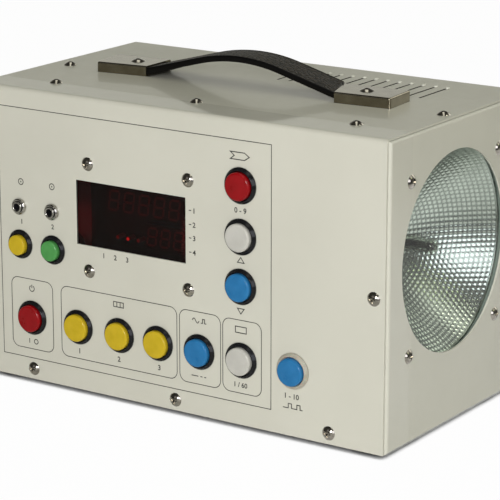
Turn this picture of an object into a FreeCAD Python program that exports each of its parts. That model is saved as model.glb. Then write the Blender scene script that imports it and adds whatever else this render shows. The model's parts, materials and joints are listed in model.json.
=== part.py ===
import FreeCAD, Part
import math
import os
import re
import Sketcher

# Bench-top xenon stroboscope: a bent sheet-steel box on four feet with a strap handle, a push-button
# control panel on its front and a xenon flash lamp behind glass in its right end.
# Frame: millimetres, origin on the table under the middle of the case, +X to the lamp end,
# +Y to the back, +Z up. Cells ending in X, Depth and Height are places on the case, counted
# from its left end, its front face and its underside.
cells = {
    # case: front, top and back are one bent sheet over two end pans and a bottom tray
    "caseLength": 240.0, "caseDepth": 135.0, "caseHeight": 150.0,
    "sheetGauge": 1.0, "bendRadius": 2.2, "endBend": 1.5, "seamGap": 0.05,
    "flangeReach": 16.0, "trayFlange": 12.0, "cornerNotch": 2.4, "coverLift": 0.7,
    "footHeight": 2.2, "footRadius": 6.35, "footInset": 15.0,
    "railDepth": 12.0, "railShelf": 17.0, "railDrop": 14.0, "railLength": 204.0,
    # ventilation slits
    "ventWidth": 1.2, "ventLength": 28.5, "ventDepth": 102.3, "ventX": 122.4, "ventPitch": 6.8,
    "ventCount": 13, "trayVentX": 90.0, "trayVentDepth": 67.5,
    # dome-headed M3 screws
    "headRadius": 3.45, "headRise": 1.7, "screwRadius": 1.5, "screwReach": 5.0,
    "screwSlack": 0.1, "crossLength": 3.4, "crossWidth": 0.75, "crossSink": 1.0,
    "lowScrewX": 121.3, "lowScrewPitch": 87.7, "lowScrewHeight": 6.1,
    "endScrewInset": 7.5, "endScrewHeight": 75.2, "leftTopInset": 12.5, "endTopDepth": 61.5,
    "topLeftX": 35.1, "topMiddleX": 120.1, "topRightX": 209.6, "topScrewDepth": 21.0,
    "baseScrewInset": 8.0, "baseScrewSpread": 75.0,
    # control panel
    "startX": 27.0, "stopX": 47.5, "smallRowHeight": 70.4, "jackHeight": 89.9,
    "mainRowHeight": 33.0, "powerX": 33.4, "memoryOneX": 62.5, "memoryTwoX": 87.8,
    "memoryThreeX": 111.2, "modeX": 135.6, "displayX": 159.9, "pulseX": 189.0,
    "columnX": 159.6, "unitHeight": 118.4, "upHeight": 93.7, "downHeight": 69.4,
    # large push buttons, 16 mm panel hole
    "bezelRadius": 8.85, "bezelCrown": 7.7, "bezelRise": 2.0, "bezelFoot": 0.5,
    "barrelRadius": 7.85, "barrelBore": 7.15, "barrelReach": 20.0, "barrelFloor": 2.0,
    "capRadius": 6.85, "capProud": 4.0, "capRound": 0.9, "capSkirt": 9.0, "capWall": 1.3,
    "nutAcross": 19.0, "nutGauge": 2.5, "holeSlack": 0.15,
    # small push buttons, 12 mm panel hole
    "smallBezel": 7.4, "smallCrown": 6.1, "smallBarrel": 5.85, "smallBore": 5.4,
    "smallReach": 18.0, "smallCap": 5.1, "smallProud": 4.3, "smallNutAcross": 14.0,
    # 3.5 mm jack sockets
    "jackBushing": 3.0, "jackBore": 1.8, "jackRise": 2.6, "jackBody": 4.4, "jackReach": 13.0,
    "jackNut": 4.0, "jackNutGauge": 2.0,
    # numeric display
    "windowX": 95.4, "windowHeight": 92.05, "windowLength": 65.3, "windowTall": 32.5,
    "acrylicGauge": 2.0, "acrylicLap": 1.8, "boardX": 99.6, "boardHeight": 89.9,
    "boardLength": 74.0, "boardTall": 66.0, "boardGauge": 1.6, "boardDepth": 12.0,
    "boardScrewPitch": 59.5, "boardScrewRise": 54.0, "pillarAcross": 5.5,
    "upperDigitsX": 100.0, "upperDigitsHeight": 99.5, "upperDigitsLength": 46.0,
    "lowerDigitsX": 112.5, "lowerDigitsHeight": 84.5, "lowerDigitsLength": 24.0,
    "digitsTall": 12.5, "digitsGauge": 7.0,
    "memoryLampX": 88.6, "memoryLampHeight": 80.6, "memoryLampPitch": 6.2,
    "stateLampX": 126.1, "stateLampHeight": 92.0, "stateLampPitch": 6.9,
    "lampRadius": 1.1, "lampReach": 5.0,
    # flash lamp module in the right end
    "lampDepth": 61.3, "lampHeight": 85.5, "lampHoleRadius": 48.9, "lampScrewOffset": 41.6,
    "gasketGauge": 1.0, "glassGauge": 3.0, "glassRadius": 53.3, "mouthRadius": 49.6,
    "reflectorReach": 34.0, "reflectorGauge": 1.0, "eyeRadius": 9.0,
    "retainerGauge": 1.2, "retainerRadius": 56.3, "retainerBore": 51.6, "earRadius": 5.5,
    "spacerRadius": 2.9, "lampPillarReach": 32.6, "socketPlateSpan": 92.0,
    "socketRadius": 8.2, "socketNose": 6.0, "socketFlange": 13.0, "socketTail": 14.0,
    "tubeRadius": 4.25, "tubeReach": 25.0, "tubeWall": 0.9,
    "cathodeRadius": 1.6, "cathodeReach": 13.5, "anodeRadius": 1.1, "electrodeWire": 0.4,
    "coilRadius": 6.0, "coilReach": 15.0, "coilRise": 24.0,
    # power supply on the tray
    "coreX": 51.0, "coreDepth": 88.0, "coreLength": 57.0, "coreStack": 26.0, "coreTall": 47.5,
    "coreLimb": 9.5, "windingReach": 8.0, "windingGap": 0.4,
    "mainBoardX": 142.0, "mainBoardDepth": 84.0, "mainBoardLength": 96.0, "mainBoardWidth": 84.0,
    "mainBoardLift": 8.0, "mainBoardInset": 5.0,
    "canRadius": 12.5, "canReach": 40.0, "canPitch": 30.0, "canX": 118.0, "canDepth": 68.0,
    # mains inlet and fuse holder in the back
    "inletX": 140.0, "inletHeight": 34.0, "inletLength": 50.0, "inletTall": 22.4,
    "inletFlange": 2.5, "inletBodyLength": 27.0, "inletBodyTall": 19.8, "inletReach": 24.0,
    "inletMouthLength": 24.0, "inletMouthTall": 16.4, "inletMouthReach": 17.0,
    "pinLength": 4.0, "pinGauge": 2.0, "pinReach": 12.5, "pinPitch": 7.0, "pinStagger": 2.0,
    "inletScrewPitch": 40.0,
    "fuseX": 185.0, "fuseHeight": 32.0, "fuseBody": 6.2, "fuseBore": 5.0, "fuseReach": 28.0,
    "fuseFlange": 8.5, "fuseFlangeGauge": 1.5, "fuseShaft": 4.92, "fuseShaftReach": 20.0,
    "fuseCap": 6.4, "fuseCapGauge": 3.4, "fuseSlot": 1.4, "fuseNutAcross": 15.0,
    # strap handle on the top
    "handleShift": -0.8, "strapWidth": 19.4, "strapGauge": 3.1, "strapRound": 0.7,
    "archRise": 13.0, "archRadius": 91.5, "archSlope": 15.1, "archEndRadius": 30.0,
    "strapEnd": 83.4, "coreStripWidth": 12.0, "coreStripGauge": 0.6,
    "tongueWidth": 15.0, "tongueStart": 55.9, "tongueEarly": 49.2,
    "heelStart": 55.8, "heelEnd": 42.6, "heelLow": 0.75, "heelHigh": 4.15,
    "capEnd": 17.8, "capWidth": 21.6, "capHeight": 5.2, "capGauge": 0.8,
    "leftCapTurn": 7.5, "leftMouthFront": 10.3, "leftMouthBack": 13.0,
    "rightCapTurn": 4.0, "rightMouthFront": 12.1, "rightMouthBack": 17.5,
    "handleScrewReach": 67.8, "handleHead": 3.8, "handleHeadRise": 1.2, "handleScrewRadius": 2.0,
    "handleScrewDrop": 10.0, "handleNutAcross": 7.0, "handleNutGauge": 3.2,
}

doc = FreeCAD.newDocument("XenonStroboscope")
sheet = doc.addObject("Spreadsheet::Sheet", "Dimensions")
for row, (alias, value) in enumerate(cells.items(), start=1):
    sheet.set(f"A{row}", str(value))
    sheet.setAlias(f"A{row}", alias)
doc.recompute()

nodes = []
wordPattern = re.compile(r"\b[a-z][A-Za-z]+\b")
outward = {
    "up": FreeCAD.Rotation(),
    "down": FreeCAD.Rotation(FreeCAD.Vector(1, 0, 0), 180),
    "front": FreeCAD.Rotation(FreeCAD.Vector(1, 0, 0), 90),
    "back": FreeCAD.Rotation(FreeCAD.Vector(1, 0, 0), -90),
    "right": FreeCAD.Rotation(FreeCAD.Vector(0, 1, 0), 90),
    "left": FreeCAD.Rotation(FreeCAD.Vector(0, 1, 0), -90),
}
frontFace = "-caseDepth / 2"
backFace = "caseDepth / 2"
caseTop = "footHeight + caseHeight"
caseFloor = "footHeight + sheetGauge"


def formula(text):
    # A formula on cell names becomes a formula on the sheet's cells.
    return wordPattern.sub(lambda word: "Dimensions." + word[0] if word[0] in cells else word[0], text)


def amount(text):
    return float(sheet.evalExpression(formula(text)))


def bind(thing, **formulas):
    for name, text in formulas.items():
        thing.setExpression(name, formula(text))


def across(place):
    return f"{place} - caseLength / 2"


def deep(place):
    return f"{place} - caseDepth / 2"


def above(place):
    return f"{place} + footHeight"


def place(thing, x, y, z, facing="up"):
    thing.Placement = FreeCAD.Placement(FreeCAD.Vector(), outward[facing])
    for axis, text in zip("xyz", (x, y, z)):
        thing.setExpression(f"Placement.Base.{axis}", formula(text))


def named(thing, label):
    thing.Label = label
    nodes.append(thing)
    return thing


# --- sketch and feature helpers -----------------------------------------------------------------
def startSketch(body, role, offset=None):
    sketch = body.newObject("Sketcher::SketchObject", body.Name + "Sketch")
    plane = next(item for item in body.Origin.OriginFeatures if item.Role == role)
    sketch.AttachmentSupport = [(plane, "")]
    sketch.MapMode = "FlatFace"
    if offset:
        sketch.setExpression("AttachmentOffset.Base.z", formula(offset))
    return sketch


def locate(sketch, element, point, x, y):
    # Ties one point of a sketch element to the sketch's origin by two formulas.
    for kind, text in (("DistanceX", x), ("DistanceY", y)):
        index = sketch.addConstraint(Sketcher.Constraint(kind, -1, 1, element, point, amount(text)))
        sketch.setExpression(f"Constraints[{index}]", formula(text))


def drawOutline(sketch, corners):
    first = sketch.GeometryCount
    count = len(corners)
    turn = 2 * math.pi / count
    start = [FreeCAD.Vector(math.cos(turn * i), math.sin(turn * i), 0) for i in range(count)]
    sketch.addGeometry([Part.LineSegment(start[i], start[(i + 1) % count]) for i in range(count)], False)
    for i in range(count):
        sketch.addConstraint(Sketcher.Constraint("Coincident", first + i, 2, first + (i + 1) % count, 1))
    for i, (x, y) in enumerate(corners):
        locate(sketch, first + i, 1, x, y)


def drawRectangle(sketch, x, y, length, width):
    drawOutline(sketch, [(f"{x} + {i} * ({length}) / 2", f"{y} + {j} * ({width}) / 2")
                         for i, j in ((-1, -1), (1, -1), (1, 1), (-1, 1))])


def drawCircle(sketch, x, y, radius):
    index = sketch.GeometryCount
    sketch.addGeometry(Part.Circle(FreeCAD.Vector(index, 1, 0), FreeCAD.Vector(0, 0, 1), 1), False)
    locate(sketch, index, 3, x, y)
    size = sketch.addConstraint(Sketcher.Constraint("Radius", index, 1.0))
    sketch.setExpression(f"Constraints[{size}]", formula(radius))


def drawLoop(sketch, corners):
    # Each corner is (x, y, through): the edge to the next corner is straight where the last is None
    # and else an arc through that (x, y) place.
    first = sketch.GeometryCount
    count = len(corners)
    spots = [FreeCAD.Vector(amount(x), amount(y), 0) for x, y, through in corners]
    ends = []
    for i, (x, y, through) in enumerate(corners):
        start, end = spots[i], spots[(i + 1) % count]
        if through is None:
            sketch.addGeometry(Part.LineSegment(start, end), False)
            ends.append((1, 2))
            continue
        middle = FreeCAD.Vector(amount(through[0]), amount(through[1]), 0)
        leftward = (middle - start).cross(end - middle).z > 0
        circle = Part.Arc(start, middle, end).toShape().Curve
        low, high = (start, end) if leftward else (end, start)
        angles = [math.atan2(spot.y - circle.Center.y, spot.x - circle.Center.x) for spot in (low, high)]
        flat = Part.Circle(circle.Center, FreeCAD.Vector(0, 0, 1), circle.Radius)
        sketch.addGeometry(Part.ArcOfCircle(flat, angles[0], angles[1]), False)
        ends.append((1, 2) if leftward else (2, 1))
    for i in range(count):
        after = (i + 1) % count
        sketch.addConstraint(Sketcher.Constraint("Coincident", first + i, ends[i][1], first + after,
                                                 ends[after][0]))
    for i, (x, y, through) in enumerate(corners):
        locate(sketch, first + i, ends[i][0], x, y)
        if through is not None:
            marker = sketch.addGeometry(Part.Point(FreeCAD.Vector(amount(through[0]), amount(through[1]), 0)),
                                        True)
            locate(sketch, marker, 1, through[0], through[1])
            sketch.addConstraint(Sketcher.Constraint("PointOnObject", marker, 1, first + i))


def drawSlit(sketch, x, low, high, radius):
    # A slit along the sketch's second axis with a half round at each end.
    first = sketch.GeometryCount
    middles = (FreeCAD.Vector(0, -2, 0), FreeCAD.Vector(0, 2, 0))
    normal = FreeCAD.Vector(0, 0, 1)
    ends = [Part.ArcOfCircle(Part.Circle(middle, normal, 1), angle, angle + math.pi)
            for middle, angle in zip(middles, (math.pi, 0))]
    sides = [Part.LineSegment(FreeCAD.Vector(1, -2, 0), FreeCAD.Vector(1, 2, 0)),
             Part.LineSegment(FreeCAD.Vector(-1, 2, 0), FreeCAD.Vector(-1, -2, 0))]
    sketch.addGeometry(ends + sides, False)
    lowEnd, highEnd, right, left = range(first, first + 4)
    for one, onePoint, two, twoPoint in ((lowEnd, 2, right, 1), (right, 2, highEnd, 1),
                                         (highEnd, 2, left, 1), (left, 2, lowEnd, 1)):
        sketch.addConstraint(Sketcher.Constraint("Tangent", one, onePoint, two, twoPoint))
    locate(sketch, lowEnd, 3, x, low)
    locate(sketch, highEnd, 3, x, high)
    sketch.addConstraint(Sketcher.Constraint("Equal", lowEnd, highEnd))
    size = sketch.addConstraint(Sketcher.Constraint("Radius", lowEnd, 1.0))
    sketch.setExpression(f"Constraints[{size}]", formula(radius))


def startBody(label):
    return named(doc.addObject("PartDesign::Body", label), label)


def pad(body, sketch, length, midplane=False, reverse=False):
    feature = body.newObject("PartDesign::Pad", body.Name + "Pad")
    feature.Profile = sketch
    feature.Midplane = midplane
    feature.Reversed = reverse
    bind(feature, Length=length)
    doc.recompute()
    return feature


def pocket(body, sketch, length=None, midplane=False, reverse=False):
    before = body.Shape.Volume
    feature = body.newObject("PartDesign::Pocket", body.Name + "Pocket")
    feature.Profile = sketch
    feature.Midplane = midplane
    feature.Reversed = reverse
    if length:
        bind(feature, Length=length)
    else:
        feature.Type = "ThroughAll"
    doc.recompute()
    if body.Shape.Volume > before - 0.1:
        raise RuntimeError(f"{feature.Name} removes nothing")
    return feature


def revolve(body, sketch):
    feature = body.newObject("PartDesign::Revolution", body.Name + "Revolution")
    feature.Profile = sketch
    feature.ReferenceAxis = (sketch, ["V_Axis"])
    feature.Angle = 360
    doc.recompute()
    return feature


def soften(body, radius, wanted):
    # Rounds the edges whose middle and direction the test accepts.
    tip = body.Tip
    edges = [f"Edge{i}" for i, edge in enumerate(tip.Shape.Edges, start=1)
             if wanted(edge.BoundBox, edge)]
    feature = body.newObject("PartDesign::Fillet", body.Name + "Fillet")
    feature.Base = (tip, edges)
    bind(feature, Radius=radius)
    doc.recompute()
    return feature


def repeat(body, feature, sketch, pitch, count):
    row = body.newObject("PartDesign::LinearPattern", body.Name + "Row")
    row.Originals = [feature]
    row.Direction = (sketch, ["H_Axis"])
    bind(row, Length=f"{pitch} * ({count} - 1)", Occurrences=count)
    body.Tip = row
    doc.recompute()
    return row


def turned(label, profile):
    # A body turned about its own Z axis from (radius, height) corners.
    body = doc.addObject("PartDesign::Body", label)
    sketch = startSketch(body, "XZ_Plane")
    drawOutline(sketch, profile)
    revolve(body, sketch)
    return body


# --- solid helpers ------------------------------------------------------------------------------
def block(name, x, y, z, length, width, height):
    # A block centred on x and y that stands on z.
    solid = doc.addObject("Part::Box", name)
    bind(solid, Length=length, Width=width, Height=height)
    place(solid, f"{x} - ({length}) / 2", f"{y} - ({width}) / 2", z)
    return solid


def rod(name, x, y, z, radius, length, facing="up"):
    solid = doc.addObject("Part::Cylinder", name)
    bind(solid, Radius=radius, Height=length)
    place(solid, x, y, z, facing)
    return solid


def hexagon(name, x, y, z, acrossFlats, length, facing="up"):
    solid = doc.addObject("Part::Prism", name)
    solid.Polygon = 6
    bind(solid, Circumradius=f"({acrossFlats}) / 2 / cos(30)", Height=length)
    place(solid, x, y, z, facing)
    return solid


def cut(name, base, *tools):
    tool = tools[0]
    if len(tools) > 1:
        tool = fuse(name + "Tool", *tools)
    result = doc.addObject("Part::Cut", name)
    result.Base = base
    result.Tool = tool
    return result


def fuse(name, *shapes):
    result = doc.addObject("Part::MultiFuse", name)
    result.Shapes = list(shapes)
    return result


def group(label, *solids):
    bundle = doc.addObject("Part::Compound", label)
    bundle.Links = list(solids)
    return named(bundle, label)


def copies(label, master, places):
    links = []
    for index, (x, y, z, facing) in enumerate(places, start=1):
        link = doc.addObject("App::Link", f"{label}Copy{index}")
        link.LinkedObject = master
        place(link, x, y, z, facing)
        links.append(link)
    return group(label, *links)


def value(alias):
    return float(sheet.get(alias))


# --- places shared by several pieces ------------------------------------------------------------
screwHole = "screwRadius + screwSlack"
lowScrews = [f"{across('lowScrewX')} + {i} * lowScrewPitch" for i in (-1, 0, 1)]
endScrews = ["caseLength / 2 - endScrewInset", "endScrewInset - caseLength / 2"]
topScrews = [across(cell) for cell in ("topLeftX", "topMiddleX", "topRightX")]
endTopScrews = ["caseLength / 2 - endScrewInset", "leftTopInset - caseLength / 2"]
baseScrews = [(f"{i} * (caseLength / 2 - baseScrewInset)", f"{j} * baseScrewSpread / 2")
              for i in (-1, 1) for j in (-1, 1)]
boardScrews = [(f"{across('boardX')} + {i} * boardScrewPitch / 2",
                f"{above('boardHeight')} + {j} * boardScrewRise / 2") for i in (-1, 1) for j in (-1, 1)]
lampScrews = [(f"{deep('lampDepth')} + {i} * lampScrewOffset",
               f"{above('lampHeight')} + {j} * lampScrewOffset") for i in (-1, 1) for j in (-1, 1)]
mainBoardPillars = [(f"{across('mainBoardX')} + {i} * (mainBoardLength / 2 - mainBoardInset)",
                     f"{deep('mainBoardDepth')} + {j} * (mainBoardWidth / 2 - mainBoardInset)")
                    for i in (-1, 1) for j in (-1, 1)]
handleScrews = [f"handleShift + {i} * handleScrewReach" for i in (-1, 1)]
inletScrews = [f"{across('inletX')} + {i} * inletScrewPitch / 2" for i in (-1, 1)]
bigButtons = {
    "power_button": ("powerX", "mainRowHeight"), "memory_1_button": ("memoryOneX", "mainRowHeight"),
    "memory_2_button": ("memoryTwoX", "mainRowHeight"),
    "memory_3_button": ("memoryThreeX", "mainRowHeight"), "mode_button": ("modeX", "mainRowHeight"),
    "display_button": ("displayX", "mainRowHeight"), "unit_button": ("columnX", "unitHeight"),
    "up_button": ("columnX", "upHeight"), "down_button": ("columnX", "downHeight"),
    "pulse_button": ("pulseX", "mainRowHeight"),
}
smallButtons = {"start_button": ("startX", "smallRowHeight"), "stop_button": ("stopX", "smallRowHeight")}
jackPlaces = [("startX", "jackHeight"), ("stopX", "jackHeight")]


def onPanel(spot, behind="0"):
    x, height = spot
    return (across(x), f"{frontFace} + {behind}", above(height), "front")


# --- case ---------------------------------------------------------------------------------------
def makeCover():
    body = startBody("wrap_cover")
    sketch = startSketch(body, "YZ_Plane")
    bottom = "footHeight + coverLift"
    drawOutline(sketch, [(frontFace, bottom), (backFace, bottom), (backFace, caseTop),
                         (frontFace, caseTop)])
    pad(body, sketch, "caseLength - 2 * endBend", midplane=True)
    top = value("footHeight") + value("caseHeight")
    soften(body, "bendRadius", lambda box, edge: box.XLength > 100 and abs(box.ZMin - top) < 0.01)
    sketch = startSketch(body, "YZ_Plane")
    inner = "caseDepth / 2 - sheetGauge"
    drawOutline(sketch, [(f"-({inner})", "0"), (inner, "0"), (inner, f"{caseTop} - sheetGauge"),
                         (f"-({inner})", f"{caseTop} - sheetGauge")])
    pocket(body, sketch, midplane=True)
    inside = top - value("sheetGauge")
    soften(body, "bendRadius - sheetGauge",
           lambda box, edge: box.XLength > 100 and abs(box.ZMin - inside) < 0.01
           and abs(box.ZMax - inside) < 0.01)
    front = startSketch(body, "XZ_Plane")
    drawRectangle(front, across("windowX"), above("windowHeight"), "windowLength", "windowTall")
    for x, height in bigButtons.values():
        drawCircle(front, across(x), above(height), "barrelRadius + holeSlack")
    for x, height in smallButtons.values():
        drawCircle(front, across(x), above(height), "smallBarrel + holeSlack")
    for x, height in jackPlaces:
        drawCircle(front, across(x), above(height), "jackBushing + holeSlack")
    for x, z in boardScrews:
        drawCircle(front, x, z, screwHole)
    pocket(body, front, reverse=True)
    rim = startSketch(body, "XZ_Plane")
    for x in lowScrews:
        drawCircle(rim, x, above("lowScrewHeight"), screwHole)
    for x in endScrews:
        drawCircle(rim, x, above("endScrewHeight"), screwHole)
    pocket(body, rim, midplane=True)
    back = startSketch(body, "XZ_Plane")
    drawRectangle(back, across("inletX"), above("inletHeight"), "inletBodyLength + 2 * holeSlack",
                  "inletBodyTall + 2 * holeSlack")
    drawCircle(back, across("fuseX"), above("fuseHeight"), "fuseBody + holeSlack")
    for x in inletScrews:
        drawCircle(back, x, above("inletHeight"), screwHole)
    pocket(body, back)
    lid = startSketch(body, "XY_Plane", above("caseHeight / 2"))
    for x in topScrews:
        drawCircle(lid, x, deep("topScrewDepth"), screwHole)
    for x in endTopScrews:
        drawCircle(lid, x, deep("endTopDepth"), screwHole)
    for x in handleScrews:
        drawCircle(lid, x, "0", "handleScrewRadius + screwSlack")
    pocket(body, lid, reverse=True)
    slit = startSketch(body, "XY_Plane", above("caseHeight / 2"))
    half = "(ventLength - ventWidth) / 2"
    drawSlit(slit, across("ventX"), f"{deep('ventDepth')} - {half}", f"{deep('ventDepth')} + {half}",
             "ventWidth / 2")
    repeat(body, pocket(body, slit, reverse=True), slit, "ventPitch", "ventCount")


def makeEndPlate(label, side):
    # A shallow pan: its face closes one end of the case, its four flanges lie inside the cover.
    body = startBody(label)
    face = f"{side} * caseLength / 2"
    reach = "caseDepth / 2 - sheetGauge - seamGap"
    low = f"{caseFloor} + seamGap"
    high = f"{caseTop} - sheetGauge - seamGap"
    sketch = startSketch(body, "YZ_Plane", face)
    drawOutline(sketch, [(f"-({reach})", low), (reach, low), (reach, high), (f"-({reach})", high)])
    pad(body, sketch, "flangeReach", reverse=side > 0)
    faceX = side * value("caseLength") / 2
    soften(body, "endBend", lambda box, edge: abs(box.XMin - faceX) < 0.01 and box.XLength < 0.01)
    mouth = f"{face} - {side} * flangeReach"
    sketch = startSketch(body, "YZ_Plane", mouth)
    inner = f"{reach} - sheetGauge"
    drawOutline(sketch, [(f"-({inner})", f"{low} + sheetGauge"), (inner, f"{low} + sheetGauge"),
                         (inner, f"{high} - sheetGauge"), (f"-({inner})", f"{high} - sheetGauge")])
    pocket(body, sketch, "flangeReach - sheetGauge", reverse=side > 0)
    notch = startSketch(body, "YZ_Plane", mouth)
    for i in (-1, 1):
        for z in (low, high):
            drawRectangle(notch, f"{i} * ({reach})", z, "2 * cornerNotch", "2 * cornerNotch")
    pocket(body, notch, "flangeReach - endBend", reverse=side > 0)
    endScrew = f"{side} * (caseLength / 2 - endScrewInset)"
    holes = startSketch(body, "XZ_Plane")
    drawCircle(holes, endScrew, above("endScrewHeight"), screwHole)
    pocket(body, holes, midplane=True)
    holes = startSketch(body, "XY_Plane", above("caseHeight / 2"))
    drawCircle(holes, endTopScrews[0] if side > 0 else endTopScrews[1], deep("endTopDepth"), screwHole)
    pocket(body, holes, reverse=True)
    holes = startSketch(body, "XY_Plane", above("caseHeight / 2"))
    for j in (-1, 1):
        drawCircle(holes, f"{side} * (caseLength / 2 - baseScrewInset)", f"{j} * baseScrewSpread / 2",
                   screwHole)
    pocket(body, holes)
    if side > 0:
        window = startSketch(body, "YZ_Plane")
        drawCircle(window, deep("lampDepth"), above("lampHeight"), "lampHoleRadius")
        for y, z in lampScrews:
            drawCircle(window, y, z, screwHole)
        pocket(body, window, reverse=True)


def makeTray():
    body = startBody("base_tray")
    reach = "caseDepth / 2 - sheetGauge - seamGap"
    sketch = startSketch(body, "XY_Plane", "footHeight")
    drawRectangle(sketch, "0", "0", "caseLength - 2 * endBend", f"2 * ({reach})")
    pad(body, sketch, "trayFlange")
    low = value("footHeight")
    soften(body, "endBend", lambda box, edge: box.XLength > 100 and abs(box.ZMax - low) < 0.01)
    sketch = startSketch(body, "XY_Plane", "footHeight + trayFlange")
    drawRectangle(sketch, "0", "0", "caseLength", f"2 * ({reach} - sheetGauge)")
    pocket(body, sketch, "trayFlange - sheetGauge")
    ends = startSketch(body, "XY_Plane", "footHeight + trayFlange")
    for i in (-1, 1):
        drawRectangle(ends, f"{i} * (caseLength / 2)", "0", "2 * (flangeReach + endBend)", "caseDepth")
    pocket(body, ends, "trayFlange - sheetGauge")
    holes = startSketch(body, "XZ_Plane")
    for x in lowScrews:
        drawCircle(holes, x, above("lowScrewHeight"), screwHole)
    pocket(body, holes, midplane=True)
    holes = startSketch(body, "XY_Plane", "footHeight + trayFlange")
    for x, y in baseScrews:
        drawCircle(holes, x, y, screwHole)
    pocket(body, holes)
    slit = startSketch(body, "XY_Plane", "footHeight + trayFlange")
    half = "(ventLength - ventWidth) / 2"
    drawSlit(slit, across("trayVentX"), f"{deep('trayVentDepth')} - {half}",
             f"{deep('trayVentDepth')} + {half}", "ventWidth / 2")
    repeat(body, pocket(body, slit), slit, "ventPitch", "ventCount")


def makeRail():
    # An angle strip under the front of the top sheet.
    body = startBody("top_rail")
    sketch = startSketch(body, "YZ_Plane")
    under = f"{caseTop} - sheetGauge"
    near = deep("railDepth")
    drawOutline(sketch, [(near, under), (near, f"{under} - railDrop"),
                         (f"{near} + sheetGauge", f"{under} - railDrop"),
                         (f"{near} + sheetGauge", f"{under} - sheetGauge"),
                         (f"{near} + railShelf", f"{under} - sheetGauge"), (f"{near} + railShelf", under)])
    pad(body, sketch, "railLength", midplane=True)
    holes = startSketch(body, "XY_Plane", above("caseHeight / 2"))
    for x in topScrews:
        drawCircle(holes, x, deep("topScrewDepth"), screwHole)
    pocket(body, holes, reverse=True)


def makeFeet():
    foot = turned("footMaster", [("0", "0"), ("footRadius * 9 / 10", "0"), ("footRadius", "footHeight / 3"),
                                 ("footRadius", "footHeight"), ("0", "footHeight")])
    copies("rubber_feet", foot, [(f"{i} * (caseLength / 2 - footInset)",
                                  f"{j} * (caseDepth / 2 - footInset)", "0", "up")
                                 for i in (-1, 1) for j in (-1, 1)])


def makeScrew(name, headRadius, headRise, shankRadius, reach):
    # A domed head cut from a ball, a cross recess and a plain shank; the head's seat is at zero.
    ballRadius = f"({headRadius} ^ 2 + {headRise} ^ 2) / (2 * {headRise})"
    ball = doc.addObject("Part::Sphere", name + "Ball")
    bind(ball, Radius=ballRadius)
    place(ball, "0", "0", f"{headRise} - {ballRadius}")
    disc = rod(name + "Disc", "0", "0", "0", headRadius, headRise)
    dome = doc.addObject("Part::Common", name + "Dome")
    dome.Base = ball
    dome.Tool = disc
    shank = rod(name + "Shank", "0", "0", f"-({reach})", shankRadius, reach)
    bars = [block(f"{name}Bar{i}", "0", "0", f"{headRise} - crossSink", length, width, "2 * crossSink")
            for i, (length, width) in enumerate((("crossLength", "crossWidth"),
                                                 ("crossWidth", "crossLength")))]
    return cut(name, fuse(name + "Blank", dome, shank), *bars)


def makeCaseScrews():
    screw = makeScrew("caseScrew", "headRadius", "headRise", "screwRadius", "screwReach")
    faces = ((frontFace, "front"), (backFace, "back"))
    places = [(x, y, above("lowScrewHeight"), facing) for x in lowScrews for y, facing in faces]
    places += [(x, y, above("endScrewHeight"), facing) for x in endScrews for y, facing in faces]
    places += [(x, deep("topScrewDepth"), caseTop, "up") for x in topScrews]
    places += [(x, deep("endTopDepth"), caseTop, "up") for x in endTopScrews]
    places += [(x, y, "footHeight", "down") for x, y in baseScrews]
    places += [(x, f"{backFace} + inletFlange", above("inletHeight"), "back") for x in inletScrews]
    copies("case_screws", screw, places)
    copies("display_screws", screw, [(x, frontFace, z, "front") for x, z in boardScrews])
    boards = [(x, f"{frontFace} + boardDepth + boardGauge", z, "back") for x, z in boardScrews]
    boards += [(x, y, f"{caseFloor} + mainBoardLift + boardGauge", "up") for x, y in mainBoardPillars]
    copies("board_screws", screw, boards)
    plate = "caseLength / 2 - sheetGauge - gasketGauge - glassGauge - reflectorGauge - retainerGauge"
    copies("socket_screws", screw, [(f"{plate} - lampPillarReach - retainerGauge", y, z, "left")
                                    for y, z in lampScrews])


# --- push buttons and jacks ---------------------------------------------------------------------
def buttonProfile(bezel, crown, barrel, bore, reach):
    return [("0", f"-{reach}"), (barrel, f"-{reach}"), (barrel, "0"), (bezel, "0"),
            (bezel, "bezelFoot"), (crown, "bezelRise"), (bore, "bezelRise"),
            (bore, f"barrelFloor - {reach}"), ("0", f"barrelFloor - {reach}")]


def makeCap(name, radius, proud):
    cap = turned(name, [("0", proud), ("0", f"{proud} - capWall"),
                        (f"{radius} - capWall", f"{proud} - capWall"),
                        (f"{radius} - capWall", "-capSkirt"), (radius, "-capSkirt"), (radius, proud)])
    top = value(proud)
    soften(cap, "capRound", lambda box, edge: box.ZMin > top - 0.01 and box.XLength > 1)
    return cap


def makeRingNut(name, acrossFlats, bore):
    blank = hexagon(name + "Blank", "0", "0", "-sheetGauge - nutGauge", acrossFlats, "nutGauge")
    hole = rod(name + "Hole", "0", "0", "-sheetGauge - 2 * nutGauge", bore, "4 * nutGauge")
    return cut(name, blank, hole)


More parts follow.
